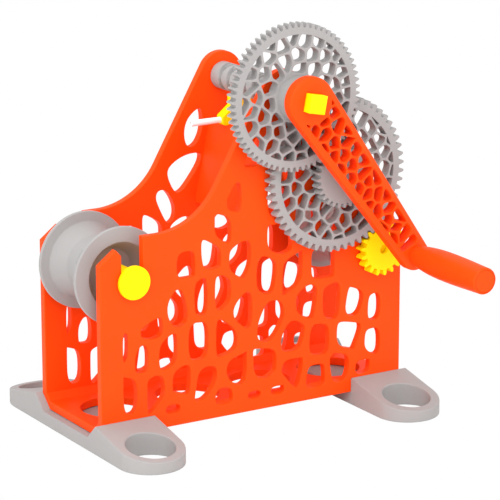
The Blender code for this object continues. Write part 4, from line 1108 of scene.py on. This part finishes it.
def intermediate_axle():
    """The bolt that the intermediate gears run on, and its nut inside the near wall."""
    head = (AXLE_HEAD_RADIUS, AXLE_HEAD_LENGTH)
    bolt("intermediate_axle", GREY, "frame", AXLE, head, AXLE_RADIUS, FIT, PIN_STEPS)
    nut("axle_nut", AXLE_RADIUS, "frame", AXLE)


# Filament guide


def filament_guide():
    """A block that straddles the cross web, with a post to the screw and a nose for the tube."""
    node = "filament_guide"
    radius = tube_radius()
    web_top, _ = web_line()
    half = WEB_THICKNESS / 2 + FIT
    slot_x = web_top[0] - CRANK[0]
    slot_top = web_top[1] - CRANK[1] + FIT
    lean = (LEG_DROP + slot_top) * tan(WEB_SLOPE)
    post_top = high(node).z - CRANK[1]
    outline = [
        (-GUIDE_LEFT_REACH, post_top),
        (-GUIDE_LEFT_REACH, -SHOULDER_DROP),
        (-NOSE_REACH, -NOSE_DROP),
        (-NOSE_REACH, -TUBE_DROP - radius),
        (-NOSE_REACH + radius / 2, -NOSE_FLOOR_DROP),
        (slot_x - half, -NOSE_FLOOR_DROP),
        (slot_x - half, slot_top),
        (slot_x + half, slot_top),
        (slot_x + half - lean, -LEG_DROP),
        (GUIDE_HALF_WIDTH, -LEG_DROP),
        (GUIDE_HALF_WIDTH, post_top),
    ]
    mesh = plate(node, filleted(outline, EDGE), [], size_y(node), FIT)
    show(node, mesh, YELLOW, "guide", at(CRANK, middle_y(node)))
    tube()
    node = "groove_follower"
    radius = size_x(node) / 2
    peg = turned(node, [(radius, 0), (radius, high(node).z - low(node).z)], PIN_STEPS)
    peg.transform(Matrix.Rotation(pi / 2, 4, "X"))
    show(node, peg, GREY, "guide", (CRANK[0], middle_y(node), low(node).z))


def tube_radius():
    return size_y("guide_tube") / 2


def tube():
    """The tube that leads the filament from the supply spool."""
    node = "guide_tube"
    mesh = ring_between(node, tube_radius(), TUBE_BORE, 0, size_x(node), FIT)
    mesh.transform(Matrix.Rotation(-pi / 2, 4, "Z"))
    show(node, mesh, WHITE, "guide", (low(node).x, middle_y(node), (low(node).z + high(node).z) / 2))


# Spindles and cones


def cone(node, body, place, cone_radius, bore, square_bore):
    """A hollow cone with a flange at its wide end, facing the nearer wall."""
    flange_radius = size_x(node) / 2
    waist, outer = sorted((abs(low(node).y), abs(high(node).y)))
    side = 1 if high(node).y > 0 else -1
    shoulder = waist + CONE_NECK_LENGTH
    profile = [
        (flange_radius, outer),
        (flange_radius, outer - FLANGE_LENGTH),
        (cone_radius, outer - FLANGE_LENGTH),
        (WAIST_RADIUS, shoulder),
        (WAIST_RADIUS, waist),
        (bore, waist),
        (bore, shoulder),
        (WAIST_RADIUS - CONE_SKIN, shoulder),
        (cone_radius - CONE_SKIN, outer),
    ]
    rings = []
    for radius, y in filleted(profile, EDGE):
        if square_bore and radius < bore + 2 * EDGE:
            rings.append(square_ring(2 * radius, side * y))
        else:
            rings.append(round_ring(radius, side * y))
    show(node, skin(node, rings, closed=True), GREY, body, at(place))


def supply():
    """The spindle that drops into the slots, a disc at each end, and two cones."""
    node = "supply_shaft"
    disc_radius = size_x(node) / 2
    front, back = low(node).y, high(node).y
    disc_back = -HALF_WIDTH - SEAT_GAP
    neck = HALF_WIDTH + SEAT_GAP - FIT
    profile = arc((disc_radius - EDGE, front + EDGE), EDGE, -pi / 2, 0, EDGE_STEPS)
    profile += arc((disc_radius - EDGE, disc_back - EDGE), EDGE, 0, pi / 2, EDGE_STEPS)
    profile += [
        (SPINDLE_RADIUS, disc_back),
        (SPINDLE_RADIUS, neck),
        (SUPPLY_TAIL_RADIUS, neck),
        (SUPPLY_TAIL_RADIUS, back - EDGE),
        (SUPPLY_TAIL_RADIUS - EDGE, back),
    ]
    show(node, turned(node, profile), YELLOW, "supply", at(SUPPLY))
    collar("supply_end_disc", SUPPLY_TAIL_RADIUS, "supply", SUPPLY)
    for node, body in (("near_supply_cone", "near_cone"), ("far_supply_cone", "far_cone")):
        cone(node, body, SUPPLY, SUPPLY_CONE_RADIUS, SPINDLE_RADIUS + FIT, False)


def take_up():
    """The driven spindle, square between the walls, its collar and its two cones."""
    node = "take_up_shaft"
    front = low(node).y
    journal = high("output_pinion").y + FIT
    tail_start = INNER_HALF - SEAT_GAP
    rings = [
        square_ring(TENON_SIDE - 2 * FIT, front),
        square_ring(TENON_SIDE, front + FIT),
        square_ring(TENON_SIDE, journal),
        round_ring(SPINDLE_RADIUS, journal),
        round_ring(SPINDLE_RADIUS, -INNER_HALF),
        square_ring(TAKE_UP_CORE_SIDE, -INNER_HALF),
        square_ring(TAKE_UP_CORE_SIDE, tail_start),
        *tail_rings(TAKE_UP_TAIL_RADIUS, tail_start, high(node).y),
    ]
    show(node, skin(node, rings), YELLOW, "take_up", at(TAKE_UP))
    collar("take_up_collar", TAKE_UP_TAIL_RADIUS, "take_up", TAKE_UP)
    for node, body in (("near_drive_cone", "near_take_up_cone"), ("far_drive_cone", "far_take_up_cone")):
        cone(node, body, TAKE_UP, TAKE_UP_CONE_RADIUS, TAKE_UP_CORE_SIDE / 2 + FIT, True)


# Floor, light and camera


def white_to_camera(tree, output, shader):
    """Shows plain white to the camera, and the real shader to all other rays."""
    nodes, links = tree.nodes, tree.links
    white = nodes.new("ShaderNodeEmission")
    path = nodes.new("ShaderNodeLightPath")
    choice = nodes.new("ShaderNodeMixShader")
    links.new(path.outputs["Is Camera Ray"], choice.inputs["Fac"])
    links.new(shader, choice.inputs[1])
    links.new(white.outputs["Emission"], choice.inputs[2])
    links.new(choice.outputs["Shader"], output)


def studio():
    """A pale floor that the camera sees as white, an even white room and four soft lamps."""
    made = bpy.data.materials.new("studio_floor")
    made.use_nodes = True
    tree = made.node_tree
    shader = tree.nodes["Principled BSDF"]
    shader.inputs["Base Color"].default_value = (*FLOOR_COLOUR, 1)
    shader.inputs["Roughness"].default_value = FLOOR_ROUGHNESS
    white_to_camera(tree, tree.nodes["Material Output"].inputs["Surface"], shader.outputs["BSDF"])
    half = FLOOR_SIZE / 2
    mesh = bpy.data.meshes.new("studio_floor")
    corners = [(-half, -half, 0), (half, -half, 0), (half, half, 0), (-half, half, 0)]
    mesh.from_pydata(corners, [], [(0, 1, 2, 3)])
    mesh.materials.append(made)
    ground = bpy.data.objects.new("studio_floor", mesh)
    bpy.context.scene.collection.objects.link(ground)

    world = bpy.data.worlds.new("studio_world")
    world.use_nodes = True
    bpy.context.scene.world = world
    tree = world.node_tree
    room = tree.nodes["Background"]
    room.inputs["Color"].default_value = (1, 1, 1, 1)
    room.inputs["Strength"].default_value = ROOM_STRENGTH
    white_to_camera(tree, tree.nodes["World Output"].inputs["Surface"], room.outputs["Background"])

    centre = Vector(((LEFT_END + RIGHT_END) / 2, 0, CRANK[1] / 2))
    for name, direction, distance, size, power in LAMPS:
        light = bpy.data.lights.new(name, "AREA")
        light.size = size
        light.energy = power
        lamp = bpy.data.objects.new(name, light)
        lamp.location = centre + Vector(direction).normalized() * distance
        lamp.rotation_euler = (centre - lamp.location).to_track_quat("-Z", "Y").to_euler()
        bpy.context.scene.collection.objects.link(lamp)


def camera():
    """The camera at the photograph's place: yaw from the left, pitch from above."""
    data = bpy.data.cameras.new("camera")
    data.lens = LENS
    data.sensor_width = SENSOR
    made = bpy.data.objects.new("camera", data)
    back = Vector((-sin(VIEW_YAW) * cos(VIEW_PITCH), -cos(VIEW_YAW) * cos(VIEW_PITCH), sin(VIEW_PITCH)))
    made.location = Vector(VIEW_TARGET) + back * VIEW_DISTANCE
    made.rotation_euler = (-back).to_track_quat("-Z", "Y").to_euler()
    bpy.context.scene.collection.objects.link(made)
    bpy.context.scene.camera = made


u_frame()
cross_web()
foot("left_foot")
foot("right_foot")
intermediate_axle()
drive_shaft()
crank_gear()
traverse_screw()
crank_arm()
handle()
intermediate_gears()
output_pinion()
filament_guide()
supply()
take_up()
studio()
camera()

bpy.context.scene.view_settings.view_transform = "Standard"
